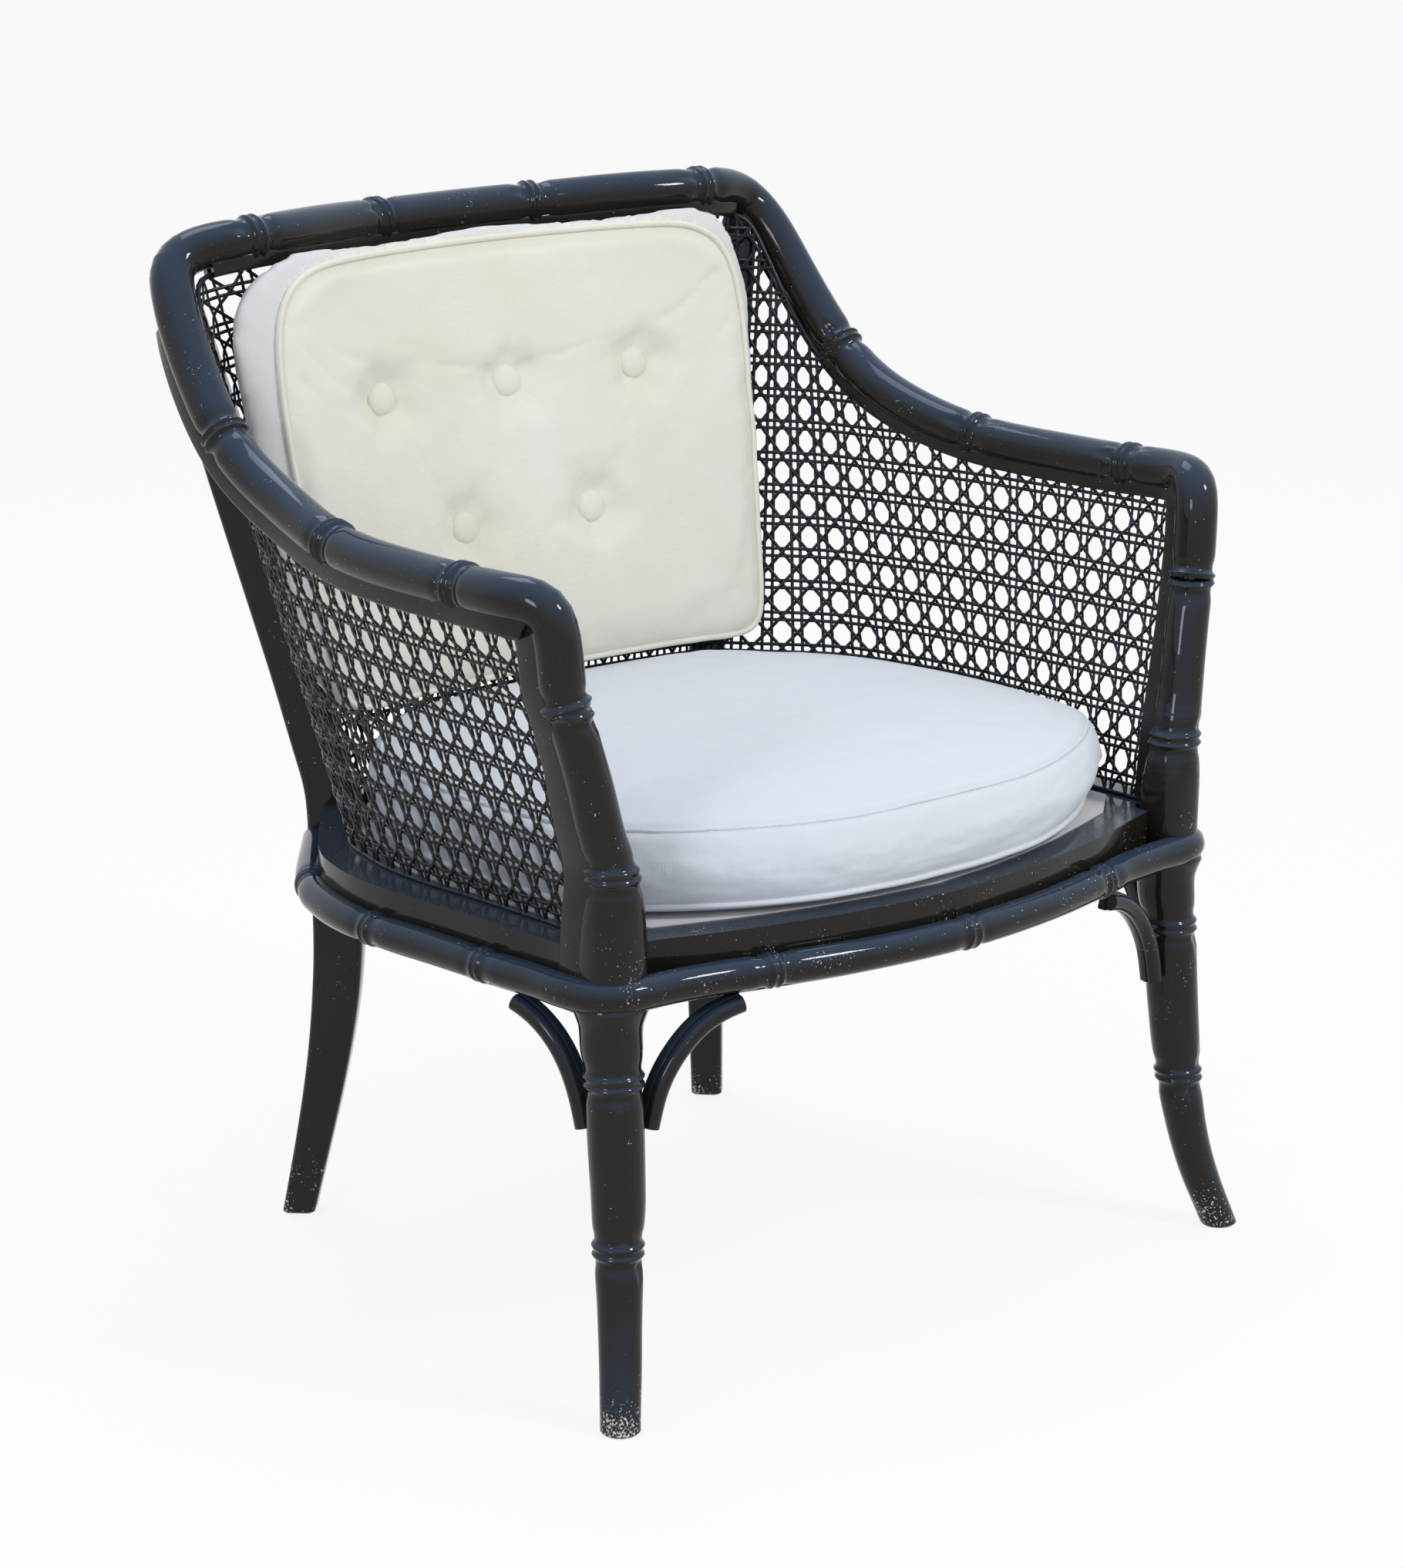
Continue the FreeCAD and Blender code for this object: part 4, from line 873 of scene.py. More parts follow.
@dataclass
class Frame:
    """The lacquered frame: the legs, arm, moulding and brackets of a half, or the front and crest."""

    lacquer: Dress
    side: Side
    moulding_r: float = 12.0
    moulding_z: float = 306.0
    moulding_ring: float = 0.62
    moulding_lap: float = 1.5
    moulding_bud: float = 300.0
    moulding_turns: int = 36
    moulding_stations: int = 60
    moulding_rear: float = 2.0
    front_to: float = 180.0
    side_from: float = -170.0
    side_out: float = 5.5
    front_out: float = 8.0
    leg_rings: tuple[float, ...] = (122.5, 243.0, 391.0, 509.0)
    leg_ends: Pair = (1.6, 509.2)
    leg_ring: float = 0.8
    leg_bud: float = 0.9
    leg_bud_r: float = 17.0
    leg_turns: int = 56
    leg_buds: tuple[tuple[int, int, float], ...] = (
        (0, -1, 250.0), (0, 1, 300.0), (1, -1, 300.0), (2, -1, 225.0), (2, 1, 300.0), (3, -1, 235.0))
    block_ramp: tuple[float, float, float, float] = (306.0, 318.0, 330.0, 388.0)
    block_power: Pair = (0.3, 0.6)
    flare: float = 5.5
    flare_at: Pair = (297.0, 10.0)
    flare_end: Pair = (307.0, 299.0)
    foot_ease: float = 0.9
    lip_z: tuple[float, float, float] = (316.0, 509.0, 576.0)
    lip_stations: int = 90
    post_stations: tuple[int, int] = (40, 14)
    elbow_short: float = 6.0
    arm_lip_ends: Pair = (12.0, 40.0)
    crest_lip_end: float = 26.0
    lip_inset: float = 0.7
    post_lip_near: float = -6.0
    post_lip_reach: float = 27.0
    post_lip_more: float = 5.0
    post_lip_below: Pair = (490.0, 400.0)
    post_lip_front: float = -197.5
    under_lip: tuple[float, float, float, float] = (3.0, 12.0, 9.0, 24.5)
    inner_lip: tuple[float, float, float, float] = (9.5, 14.5, 6.0, 13.0)
    lip_corners: tuple[float, float, float] = (2.4, 2.0, 2.6)
    rear_wide: float = 29.5
    rear_slim: Pair = (3.8, 120.0)
    rear_corner: float = 5.0
    rear_step: float = 6.0
    rear_top: float = 746.0
    rear_ease: float = 2.4
    rear_tuck: float = 8.0
    rear_tuck_z: Pair = (715.0, 745.0)
    bead: Pair = (6.4, 5.44)
    plate: Pair = (14.5, 8.0)
    plate_behind: float = 2.0
    plate_corner: float = 1.4

    def finish(self, shell: Shell, name: str, crease: float = 38.0) -> None:
        """Make a piece that stands for its node."""
        node = name + self.side.value
        shell.finish(f"{node}_turned", self.lacquer, [node], crease, self.side)

    def front_leg(self) -> None:
        """Turned leg and post, round below and above its square block at the seat."""
        z = RING.sections(*self.leg_ends, self.leg_rings, 6.0)
        x, y, r = at_heights(LEG, LEG_TABLE, z)
        r = smoothed(r, 3) + self.flare * bell(z, *self.flare_at) * ramp(z, *self.flare_end)
        for ring in self.leg_rings:
            r += RING.change(z - ring, self.leg_ring)
        a, b, c, d = self.block_ramp
        k = eased(np.minimum(ramp(z, a, b), ramp(z, d, c)))[:, None]
        angle = np.linspace(0.0, TURN, self.leg_turns, endpoint=False)
        least, more = self.block_power
        power = 2.0 + k * (least + more * (0.5 + 0.5 * np.cos(2.0 * (angle - math.pi / 4.0))))
        round_it = np.abs(np.cos(angle)) ** power + np.abs(np.sin(angle)) ** power
        rad = r[:, None] / round_it ** (1.0 / power)
        for number, way, at in self.leg_buds:
            rad -= RING.bud((z - self.leg_rings[number]) * way, angle, at, self.leg_bud_r, self.leg_bud)
        spread = spokes(SIDEWAYS[None], BACKWARD[None], self.leg_turns)
        rings = np.stack([x, y, z], -1)[:, None] + spread * rad[:, :, None]
        middle = rings[0].mean(axis=0)
        foot = (middle + (rings[0] - middle) * self.foot_ease) * (1.0, 1.0, 0.0)
        shell = Shell()
        shell.add_rings(np.concatenate([foot[None], rings]))
        z = np.linspace(*self.lip_z[:2], self.post_stations[0])
        shell.add_rings(self.post_lip(*at_heights(LEG, LEG_TABLE, z)[:2], z))
        self.finish(shell, "front_leg")

    def post_lip(self, x: np.ndarray, y: np.ndarray, z: np.ndarray) -> np.ndarray:
        """Rings of the lip behind a post, which covers the edge of the cane.

        Args:
            x: Places of the post's centre.
            y: Places of the post's centre.
            z: Heights.

        Returns:
            The lip's rings.
        """
        wide = at_heights(LEG, LEG_TABLE, z)[2] - self.lip_inset - self.post_lip_near
        deep = self.post_lip_reach + self.post_lip_more * ramp(z, *self.post_lip_below)
        centre = np.stack([x + self.post_lip_near + wide / 2.0, y + deep / 2.0, z], -1)
        return rounded_bar(centre, SIDEWAYS[None], BACKWARD[None], wide, deep, self.lip_corners[0])

    def add_lips(self, shell: Shell, line: SmoothLine, s: np.ndarray, out_hint: np.ndarray) -> None:
        """Add the lip under a rail, and the low shoulder between it and the cane.

        Args:
            shell: The rail's piece.
            line: The rail's line.
            s: Lengths of the sections.
            out_hint: Rough direction out of the chair.
        """
        p, t = line.places(s), line.directions(s)
        down, out = across_rail(t, out_hint, -UPWARD)
        _, under, inside = self.lip_corners
        near, far, top, reach = self.under_lip
        centre = p + out * (near + far) / 2.0 + down * (top + (reach - top) / 2.0)
        shell.add_rings(rounded_bar(centre, out, down, far - near, reach - top, under))
        inward, below, wide, deep = self.inner_lip
        shell.add_rings(rounded_bar(p - out * inward + down * below, out, down, wide, deep, inside))

    def arm(self) -> None:
        """Arm rail from the post's upper ring round the elbow to the corner of the back."""
        start = WHOLE.length_at(ARM_JOINT)
        rings = [start] + [WHOLE.length_at(p) for p in ARM_RINGS]
        buds = [(0, 1, 60.0)] + [(k, way, at) for k in (1, 2, 3) for way, at in ((-1, 250.0), (1, 215.0))]
        shell = Shell()
        TurnedRail(WHOLE, rings, buds, SIDEWAYS, start - 0.3, SPLIT).add_to(shell)
        elbow = ARM.length_at(ELBOW)
        count = self.post_stations[1]
        p = ARM.places(np.linspace(ARM.length_at(ARM_JOINT), elbow - self.elbow_short, count))
        z = np.linspace(*self.lip_z[1:], count)
        x, y = (np.interp(z, p[:, 2], p[:, k]) for k in (0, 1))
        shell.add_rings(self.post_lip(x, np.minimum(y, self.post_lip_front), z))
        before, after = self.arm_lip_ends
        s = np.linspace(elbow - before, ARM.length - after, self.lip_stations)
        self.add_lips(shell, ARM, s, SIDEWAYS)
        self.finish(shell, "arm_rail")

    def crest(self) -> None:
        """Crest rail across the top of the back."""
        rings = [WHOLE.length_at(p) for p in CREST_RINGS]
        rings += [WHOLE.length - s for s in reversed(rings)]
        buds = [(k, way, at) for k in range(len(rings)) for way, at in ((1, 330.0), (-1, 30.0))]
        shell = Shell()
        hint = UPWARD - 0.3 * BACKWARD
        TurnedRail(WHOLE, rings, buds, hint, SPLIT, WHOLE.length - SPLIT).add_to(shell)
        end = self.crest_lip_end
        self.add_lips(shell, CREST, np.linspace(end, CREST.length - end, self.lip_stations), BACKWARD)
        self.finish(shell, "crest_rail")

    def rear_leg(self) -> None:
        """Sabre leg and raked post in one piece, set on the diagonal."""
        z = np.concatenate([[0.0, 1.5], np.arange(self.rear_step, self.rear_top, self.rear_step)])
        x, y, depth = at_heights(REAR, REAR_TABLE, z)
        slim, slim_z = self.rear_slim
        less = np.where(z < 1.0, self.rear_ease, 0.0) + self.rear_tuck * ramp(z, *self.rear_tuck_z) ** 2
        wide = self.rear_wide - slim * ramp(z, slim_z, 0.0) - less
        across, up = unit(SIDEWAYS + BACKWARD)[None], unit(BACKWARD - SIDEWAYS)[None]
        shell = Shell()
        shell.add_rings(rounded_bar(np.stack([x, y, z], -1), across, up, smoothed(depth, 6) - less, wide,
                                    self.rear_corner))
        self.finish(shell, "rear_leg")

    def moulding_line(self) -> tuple[SmoothLine, float]:
        """Draw the right half of the moulding.

        Returns:
            Its centre-line, and the length of its corner joint.
        """
        whole_face = [(-x, y) for x, y in reversed(FRONT_FACE[1:])] + FRONT_FACE
        front = [p for p in offset_plan(whole_face, -self.front_out) if 0.0 <= p[0] < self.front_to]
        side = [p for p in offset_plan(SIDE_FACE, -self.side_out) if p[1] > self.side_from]
        line = SmoothLine([(x, y, self.moulding_z) for x, y in front + MOULDING_CORNER + side])
        return line, line.length_at((*MOULDING_CORNER[CORNER_SPLIT], self.moulding_z))

    def moulding(self) -> None:
        """Half-round moulding along a side rail, or along the front rail and round both corners."""
        line, corner = self.moulding_line()
        places = SIDE_MOULDING_RINGS if self.side is not Side.BOTH else FRONT_MOULDING_RINGS
        rings = sorted(line.length_at((x, y, self.moulding_z)) for x, y in places)
        start, end, name = corner, line.length - self.moulding_rear, "moulding"
        if self.side is Side.BOTH:
            half = line.places(np.linspace(0.0, corner + self.moulding_lap, self.moulding_stations))
            line = SmoothLine(np.concatenate([mirrored(half[::-1]), half[1:]]))
            rings = [round(line.length / 2.0 + s, 3) for s in (-rings[1], -rings[0], rings[1])]
            start, end, name = 0.0, line.length, "moulding_front"
        buds = [(k, way, self.moulding_bud) for k in range(len(rings)) for way in (1, -1)]
        shell = Shell()
        TurnedRail(line, rings, buds, UPWARD, start, end, self.moulding_r, self.moulding_ring,
                   self.moulding_turns).add_to(shell)
        self.finish(shell, name)

    def bracket(self, name: str, path: Points, inward: Sequence[float]) -> None:
        """Curved bracket: a flat plate with angular ends and a round bead on its face.

        Args:
            name: The node's name without its side.
            path: Centre-line of the bead.
            inward: Direction from the face of the bracket into the chair.
        """
        line = SmoothLine(path)
        s = np.linspace(0.0, line.length, 44)
        p, t = line.places(s), line.directions(s)
        back = unit(np.asarray(inward) - t * (t @ np.asarray(inward))[:, None])
        over = np.cross(t, back)
        over = over * np.where(over[:, 2:] < 0.0, -1.0, 1.0)
        wide, thick = self.plate
        shell = Shell()
        shell.add_rings(rounded_bar(p + back * (thick / 2.0 + self.plate_behind), over, back, wide, thick,
                                    self.plate_corner, 3))
        wide, deep = self.bead
        shell.add_rings(p[:, None, :] + spokes(over * wide, back * -deep, 24))
        self.finish(shell, name)

    def build(self) -> None:
        """Make the pieces of one half, or those that cross the middle."""
        if self.side is Side.BOTH:
            self.crest()
            self.moulding()
            return
        self.front_leg()
        self.arm()
        self.rear_leg()
        self.moulding()
        self.bracket("bracket_front", FRONT_BRACE, (0.13, 0.99, 0.0))
        self.bracket("bracket_side", SIDE_BRACE, (-0.99, 0.13, 0.0))


@dataclass
class CanePanel:
    """Woven cane from post to post: pairs of uprights, pairs of rows and two sets of diagonals."""

    lacquer: Dress
    pitch: float = 26.3
    pitch_along: float = 23.6
    pair: float = 3.0
    pair_along: float = 3.6
    strand_width: float = 2.7
    slant_width: float = 2.8
    strand_thick: float = 1.3
    cord_r: float = 2.0
    weave: float = 0.75
    cross: float = 1.5
    step: float = 4.2
    foot_z: float = 336.3
    waist: float = 120.0
    stations: tuple[int, int] = (90, 60)
    spare: int = 20
    head_r: float = 19.0
    tuck: float = 3.6
    turn: Pair = (11.0, 55.0)
    corner_y: float = 200.0
    corner_from: float = 0.7
    arm_ends: Pair = (7.0, 3.0)
    crest_end: float = 16.0
    edge: float = 0.5
    cord_in: float = 1.0
    crease: float = 70.0

    def __post_init__(self) -> None:
        """Lay out the sheet that the cane is woven on."""
        self.feet, heads = self.rows()
        self.reach = np.linalg.norm(heads - self.feet, axis=1)
        self.rise = unit(heads - self.feet)
        place = arc_lengths(self.feet + self.rise * self.waist)
        self.place = place - place[-1] / 2.0
        self.end = self.place[-1] - self.edge
        self.shell = Shell()

    def rows(self) -> tuple[np.ndarray, np.ndarray]:
        """Draw the sheet at close stations, from the right post to the left one.

        Returns:
            Its foot and its head.
        """
        foot_line = SmoothLine([(x, y, self.foot_z) for x, y in CANE_FOOT])
        post = foot_line.length_at((*CANE_FOOT[CANE_POST_FOOT], self.foot_z))
        f = np.linspace(0.0, 1.0, self.stations[0])
        arm_foot = foot_line.places(post * f)
        s = between((ARM.length_at(ELBOW) + self.arm_ends[0], ARM.length - self.arm_ends[1]), f)
        p = ARM.places(s)
        out_hint = np.where(p[:, 1:2] < self.corner_y, SIDEWAYS, SIDEWAYS + 0.6 * BACKWARD)
        down, out = across_rail(ARM.directions(s), out_hint, unit(arm_foot - p))
        turn = np.radians(between(self.turn, ramp(f, self.corner_from, 1.0)))[:, None]
        arm_head = p + (down * np.cos(turn) - out * np.sin(turn)) * self.head_r
        f = np.linspace(0.0, 1.0, self.stations[1])[1:]
        crest_foot = foot_line.places(between((post, foot_line.length), f))
        s = between((self.crest_end, CREST.length / 2.0), f)
        down, out = across_rail(CREST.directions(s), BACKWARD, -UPWARD)
        crest_head = CREST.places(s) + down * self.head_r - out * self.tuck
        feet, heads = np.concatenate([arm_foot, crest_foot]), np.concatenate([arm_head, crest_head])
        for _ in range(6):
            heads[1:-1] = (heads[:-2] + 2.0 * heads[1:-1] + heads[2:]) / 4.0
        return tuple(np.concatenate([half, mirrored(half[-2::-1])]) for half in (feet, heads))

    def sheet(self, x: np.ndarray, h: np.ndarray) -> np.ndarray:
        """Points of the sheet.

        Args:
            x: Places along it from the middle.
            h: Heights up it.

        Returns:
            The points.
        """
        foot, way = (np.stack([np.interp(x, self.place, row) for row in rows.T], -1)
                     for rows in (self.feet, self.rise))
        return foot + way * h[:, None]

    def strand(self, x: np.ndarray, h: np.ndarray, lift: np.ndarray, width: float) -> None:
        """Add each run of a flat strand that lies on the sheet.

        Args:
            x: Places along the sheet.
            h: Heights up it.
            lift: How far the strand stands off it.
            width: Its width.
        """
        inside = (np.abs(x) <= self.end) & (h >= 0.0) & (h <= np.interp(x, self.place, self.reach))
        edges = np.flatnonzero(np.diff(np.concatenate([[0], inside.astype(int), [0]])))
        for a, b in zip(edges[::2], edges[1::2]):
            if b - a < 4:
                continue
            xs, hs = x[a:b], h[a:b]
            right = self.sheet(xs + 1.0, hs) - self.sheet(xs - 1.0, hs)
            up = self.sheet(xs, hs + 1.0) - self.sheet(xs, hs - 1.0)
            normal = unit(np.cross(up, right))
            p = self.sheet(xs, hs) + normal * lift[a:b, None]
            wide = unit(np.cross(normal, unit(np.gradient(p, axis=0))))
            section = ((1.0, 0.0), (0.55, 0.5), (-0.55, 0.5), (-1.0, 0.0), (-0.55, -0.5), (0.55, -0.5))
            self.shell.add_rings(np.stack([
                p + wide * (w * width / 2.0) + normal * (n * self.strand_thick) for w, n in section], axis=1))

    def weave_cane(self) -> None:
        """Weave the panel as one piece."""
        wave, wave_along = TURN / self.pitch, TURN / self.pitch_along
        top = float(self.reach.max())
        cells = int(self.place[-1] / self.pitch_along) + 1
        h, x = np.arange(0.0, top + self.step, self.step), np.arange(-self.end, self.end, self.step)
        for n in range(-cells - 1, cells + 1):
            for sign in (-1.0, 1.0):
                at = np.full_like(h, (n + 0.5) * self.pitch_along + sign * self.pair_along)
                self.strand(at, h, -sign * self.weave * np.sin(wave * h), self.strand_width)
        for m in range(int(top / self.pitch) + 1):
            for sign in (-1.0, 1.0):
                at = np.full_like(x, (m + 0.5) * self.pitch + sign * self.pair)
                self.strand(x, at, sign * self.weave * np.sin(wave_along * x), self.strand_width)
        for way in (-1.0, 1.0):
            for k in range(-2 * cells - self.spare, 2 * cells + self.spare):
                xs = (k + 0.5) * self.pitch_along + way * h * self.pitch_along / self.pitch
                self.strand(xs, h, -way * self.cross * np.cos(wave_along * xs), self.slant_width)
        self.shell.finish("cane_panel_woven", self.lacquer, ["cane_panel"], self.crease)

    def lay_cords(self) -> None:
        """Lay the round cord over the panel's four edges."""
        cords = Shell()
        along = np.linspace(-self.end, self.end, 240)
        edge, inset = np.interp(along, self.place, self.reach), self.end - self.cord_in
        for x, h in ((along, edge - self.cord_in), (along, np.full_like(along, self.cord_in)),
                     (np.full(40, inset), np.linspace(0.0, edge[-1], 40)),
                     (np.full(40, -inset), np.linspace(0.0, edge[0], 40))):
            path = self.sheet(x, h)
            t = unit(np.gradient(path, axis=0))
            side = unit(np.cross(t, unit(path * (1.0, 1.0, 0.0))))
            cords.add_rings(path[:, None, :] + spokes(side, np.cross(side, t), 10) * self.cord_r)
        nodes = [f"cane_cord_{place}" for place in ("right", "left", "back", "seat")]
        cords.finish("cane_cords_laid", self.lacquer, nodes, self.crease)


def vertex_vectors(obj: bpy.types.Object, what: str) -> np.ndarray:
    """One vector for each vertex of an object.

    Args:
        obj: The object.
        what: Blender's name of the vector.

    Returns:
        Array of vertices and coordinates.
    """
    flat = np.zeros(len(obj.data.vertices) * 3)
    obj.data.vertices.foreach_get(what, flat)
    return flat.reshape(-1, 3)


def nearness(points: np.ndarray, path: np.ndarray, width: float) -> np.ndarray:
    """How near each point is to a path: one on it, falling to zero past a few widths.

    Args:
        points: The points.
        path: Points along the path.
        width: Distance at which the value is 1/e.

    Returns:
        A value for each point.
    """
    best = np.full(len(points), 1e9)
    for part in np.array_split(path, max(len(path) // 24, 1)):
        d = np.linalg.norm(points[:, None, :] - part[None, :, :], axis=2).min(axis=1)
        best = np.minimum(best, d)
    return bell(best, 0.0, width)


def rumple(points: np.ndarray, normals: np.ndarray, spacing: Sequence[float],
           height: np.ndarray) -> np.ndarray:
    """Cloth waves along the surface.

    Args:
        points: The cushion's vertices.
        normals: Their normals.
        spacing: Distance between the waves in x, y and z.
        height: Greatest height of a wave at each vertex.

    Returns:
        The move of each vertex.
    """
    size = np.asarray(spacing, float)
    values = np.array([noise.fractal(Vector(p / size), 0.6, 2.0, 3) for p in points])
    return normals * (values * height)[:, None]


class Cushion:
    """A stuffed cushion: its shape is swelled by a cloth simulation inside its seams."""

    def __init__(self, name: str, foam: str, voxel: float = 5.0) -> None:
        """Start from the foam block of the solids, with even small faces.

        Args:
            name: Name of the piece.
            foam: The node of the foam block.
            voxel: Size of the faces in millimetres.
        """
        self.obj = bpy.data.objects.new(name, frame["nodes"][foam].data.copy())
        bpy.context.scene.collection.objects.link(self.obj)
        self.modifier("REMESH", mode="VOXEL", voxel_size=voxel * MM)
        self.modifier("SMOOTH", factor=0.5, iterations=3)
        self.apply()
        self.obj.data.materials.clear()

    def modifier(self, kind: str, **settings: object) -> bpy.types.Modifier:
        """Add a modifier with its settings.

        Args:
            kind: Blender's name of the modifier.
            settings: Its properties.

        Returns:
            The modifier.
        """
        made = self.obj.modifiers.new(kind.lower(), kind)
        set_all(made, settings)
        return made

    def apply(self) -> None:
        """Turn the shown shape into the cushion's own mesh."""
        shown = self.obj.evaluated_get(bpy.context.evaluated_depsgraph_get())
        mesh = bpy.data.meshes.new_from_object(shown)
        self.obj.modifiers.clear()
        old, self.obj.data = self.obj.data, mesh
        bpy.data.meshes.remove(old)

    def surface(self) -> tuple[np.ndarray, np.ndarray]:
        """Vertices in drawn millimetres, and their normals."""
        return vertex_vectors(self.obj, "co") / MM - DRAWN_SHIFT, vertex_vectors(self.obj, "normal")

    def reshape(self, points: np.ndarray) -> None:
        """Give the cushion new vertices, in drawn millimetres."""
        self.obj.data.vertices.foreach_set("co", ((points + DRAWN_SHIFT) * MM).astype(np.float32).ravel())
        self.obj.data.update()

    def swell(self, held: np.ndarray, cap: np.ndarray, skin: float = 3.2, slide: float = 1.5,
              sink: float = 0.8, frames: int = 20) -> None:
        """Blow the cover up from inside, while the seams and tufts hold it.

        Args:
            held: One where a vertex is held fast, zero where it is free.
            cap: Farthest that each vertex may move, in millimetres.
            skin: How far the foam's shape first grows, to the size of the cover.
            slide: Farthest that a vertex may move along the cover.
            sink: Farthest that it may move inward.
            frames: Steps of the simulation.
        """
        before, normal = self.surface()
        before = before + normal * skin
        self.reshape(before)
        group = self.obj.vertex_groups.new(name="held")
        for level in range(1, 6):
            group.add(np.flatnonzero(np.round(held * 5.0) == level).tolist(), level / 5.0, "REPLACE")
        cloth = self.modifier("CLOTH")
        set_all(cloth.settings, {
            "quality": 5, "mass": 0.25, "tension_stiffness": 12.0, "compression_stiffness": 12.0,
            "shear_stiffness": 5.0, "bending_stiffness": 0.4, "use_pressure": True,
            "uniform_pressure_force": 4.0, "vertex_group_mass": "held"})
        cloth.settings.effector_weights.gravity = 0.0
        cloth.collision_settings.use_collision = False
        set_all(cloth.point_cache, {"frame_start": 1, "frame_end": frames})
        for step in range(1, frames + 1):
            bpy.context.scene.frame_set(step)
        self.apply()
        move = self.surface()[0] - before
        out = np.sum(move * normal, axis=1)
        along = move - normal * out[:, None]
        along *= np.minimum(1.0, slide / np.maximum(np.linalg.norm(along, axis=1), 1e-6))[:, None]
        out = np.clip(out, -sink, cap)
        self.reshape(before + normal * out[:, None] + along)
        log.info("%s swelled by %.1f mm on average", self.obj.name, float(out.mean()))
        self.obj.vertex_groups.clear()
        self.modifier("SUBSURF", levels=1, render_levels=1)
        self.apply()
        self.obj.data.shade_smooth()

    def tree(self) -> BVHTree:
        """The cover as a tree that finds places on it."""
        return BVHTree.FromPolygons([Vector(p) for p in self.surface()[0]],
                                    [list(face.vertices) for face in self.obj.data.polygons])

    def on_surface(self, path: np.ndarray, lift: float) -> np.ndarray:
        """A path moved onto the cover.

        Args:
            path: Points near the cover.
            lift: How far the path then stands off it.

        Returns:
            The moved points, evened along the path.
        """
        tree = self.tree()
        found = [tree.find_nearest(Vector(p))[:2] for p in path]
        moved = np.array([np.array(at) + np.array(normal) * lift for at, normal in found])
        for _ in range(3):
            moved = (np.roll(moved, 1, axis=0) + 2.0 * moved + np.roll(moved, -1, axis=0)) / 4.0
        return moved


@dataclass
class SeatCushion:
    """Loose seat cushion with a stitched top seam and a piping round its foot."""

    cloth: Dress
    middle_y: float = -20.0
    foot_z: float = 338.6
    flat_z: float = 4.6
    seam_z: float = 404.5
    seam_scale: float = 0.995
    seam_groove: Pair = (2.4, 4.2)
    hold: float = 6.0
    caps: Pair = (3.5, 3.0)
    piping_up: float = 5.5
    piping_scale: float = 0.9925
    piping_r: float = 2.4
    piping_lift: float = 1.2
    welt_r: float = 1.5
    welt_lift: float = 0.5
    boxing_waves: tuple[float, ...] = (60.0, 60.0, 24.0)
    boxing_height: float = 1.5
    boxing_fades: tuple[Pair, Pair] = ((0.0, 12.0), (8.0, 20.0))
    top_waves: tuple[float, ...] = (95.0, 60.0, 60.0)
    top_height: float = 1.6
    top_fade: Pair = (3.0, 11.0)
    foot_sink: float = 0.3
    stitch_lift: float = 0.05
    stitch_taper: float = 0.5
    stitch_below: float = 4.2
    stitch_every: float = 4.4
    stitch_long: float = 3.0
    stitch_r: float = 0.38

    def loop(self, z: float, scale: float) -> np.ndarray:
        """Closed path round the cushion.

        Args:
            z: Its height.
            scale: Its size against the seat's plan.

        Returns:
            Close points of the path.
        """
        middle = self.middle_y
        return ring_path([(x * scale, middle + (y - middle) * scale, z) for x, y in SEAT_PLAN], 420)

    def add_stitches(self, shell: Shell, path: np.ndarray) -> None:
        """Add a row of short stitches.

        Args:
            shell: The piece that gets them.
            path: Points of the closed path that they follow.
        """
        line = SmoothLine.straight(np.concatenate([path, path[:1]]))
        size = self.stitch_r * np.array([self.stitch_taper, 1.0, 1.0, self.stitch_taper])
        for s in np.arange(0.0, line.length - self.stitch_every, self.stitch_every):
            at = s + np.linspace(0.0, self.stitch_long, 4)
            p, t = line.places(at), line.directions(at)
            side = unit(np.cross(t, UPWARD + t[:, ::-1] * 0.01))
            shell.add_rings(p[:, None, :] + spokes(side, np.cross(t, side), 6) * size[:, None, None])

    def build(self) -> None:
        """Make the cushion, its seam, its stitches and its piping."""
        cushion = Cushion("seat_cushion_padded", "seat_cushion_foam")
        seam = self.loop(self.seam_z, self.seam_scale)
        foot = self.loop(self.foot_z + self.piping_up, self.piping_scale)
        p, _ = cushion.surface()
        flat = (p[:, 2] < self.foot_z + self.flat_z).astype(float)
        held = np.maximum.reduce([nearness(p, seam, self.hold), nearness(p, foot, self.hold), flat])
        cushion.swell(held, np.where(p[:, 2] > self.seam_z, *self.caps))
        p, n = cushion.surface()
        z = p[:, 2]
        boxing = ramp(self.seam_z - z, *self.boxing_fades[0]) * ramp(z - self.foot_z, *self.boxing_fades[1])
        top = ramp(z - self.seam_z, *self.top_fade)
        depth, width = self.seam_groove
        moved = p + rumple(p, n, self.boxing_waves, self.boxing_height * boxing)
        moved += rumple(p, n, self.top_waves, self.top_height * top)
        moved -= n * (depth * nearness(p, seam, width))[:, None]
        moved[:, 2] = np.maximum(moved[:, 2], self.foot_z - self.foot_sink)
        cushion.reshape(moved)
        self.cloth.put_on(cushion.obj, "seat_cushion_cover", "seat_cushion_foam")

        shell = Shell()
        shell.add_cord(cushion.on_surface(foot, self.piping_lift), self.piping_r)
        welt = cushion.on_surface(seam, self.welt_lift)
        shell.add_cord(welt, self.welt_r, 10)
        below = welt - UPWARD * self.stitch_below
        self.add_stitches(shell, cushion.on_surface(below, self.stitch_lift))
        shell.finish("seat_cushion_seams", self.cloth, ["seat_cushion_piping"], 80.0)


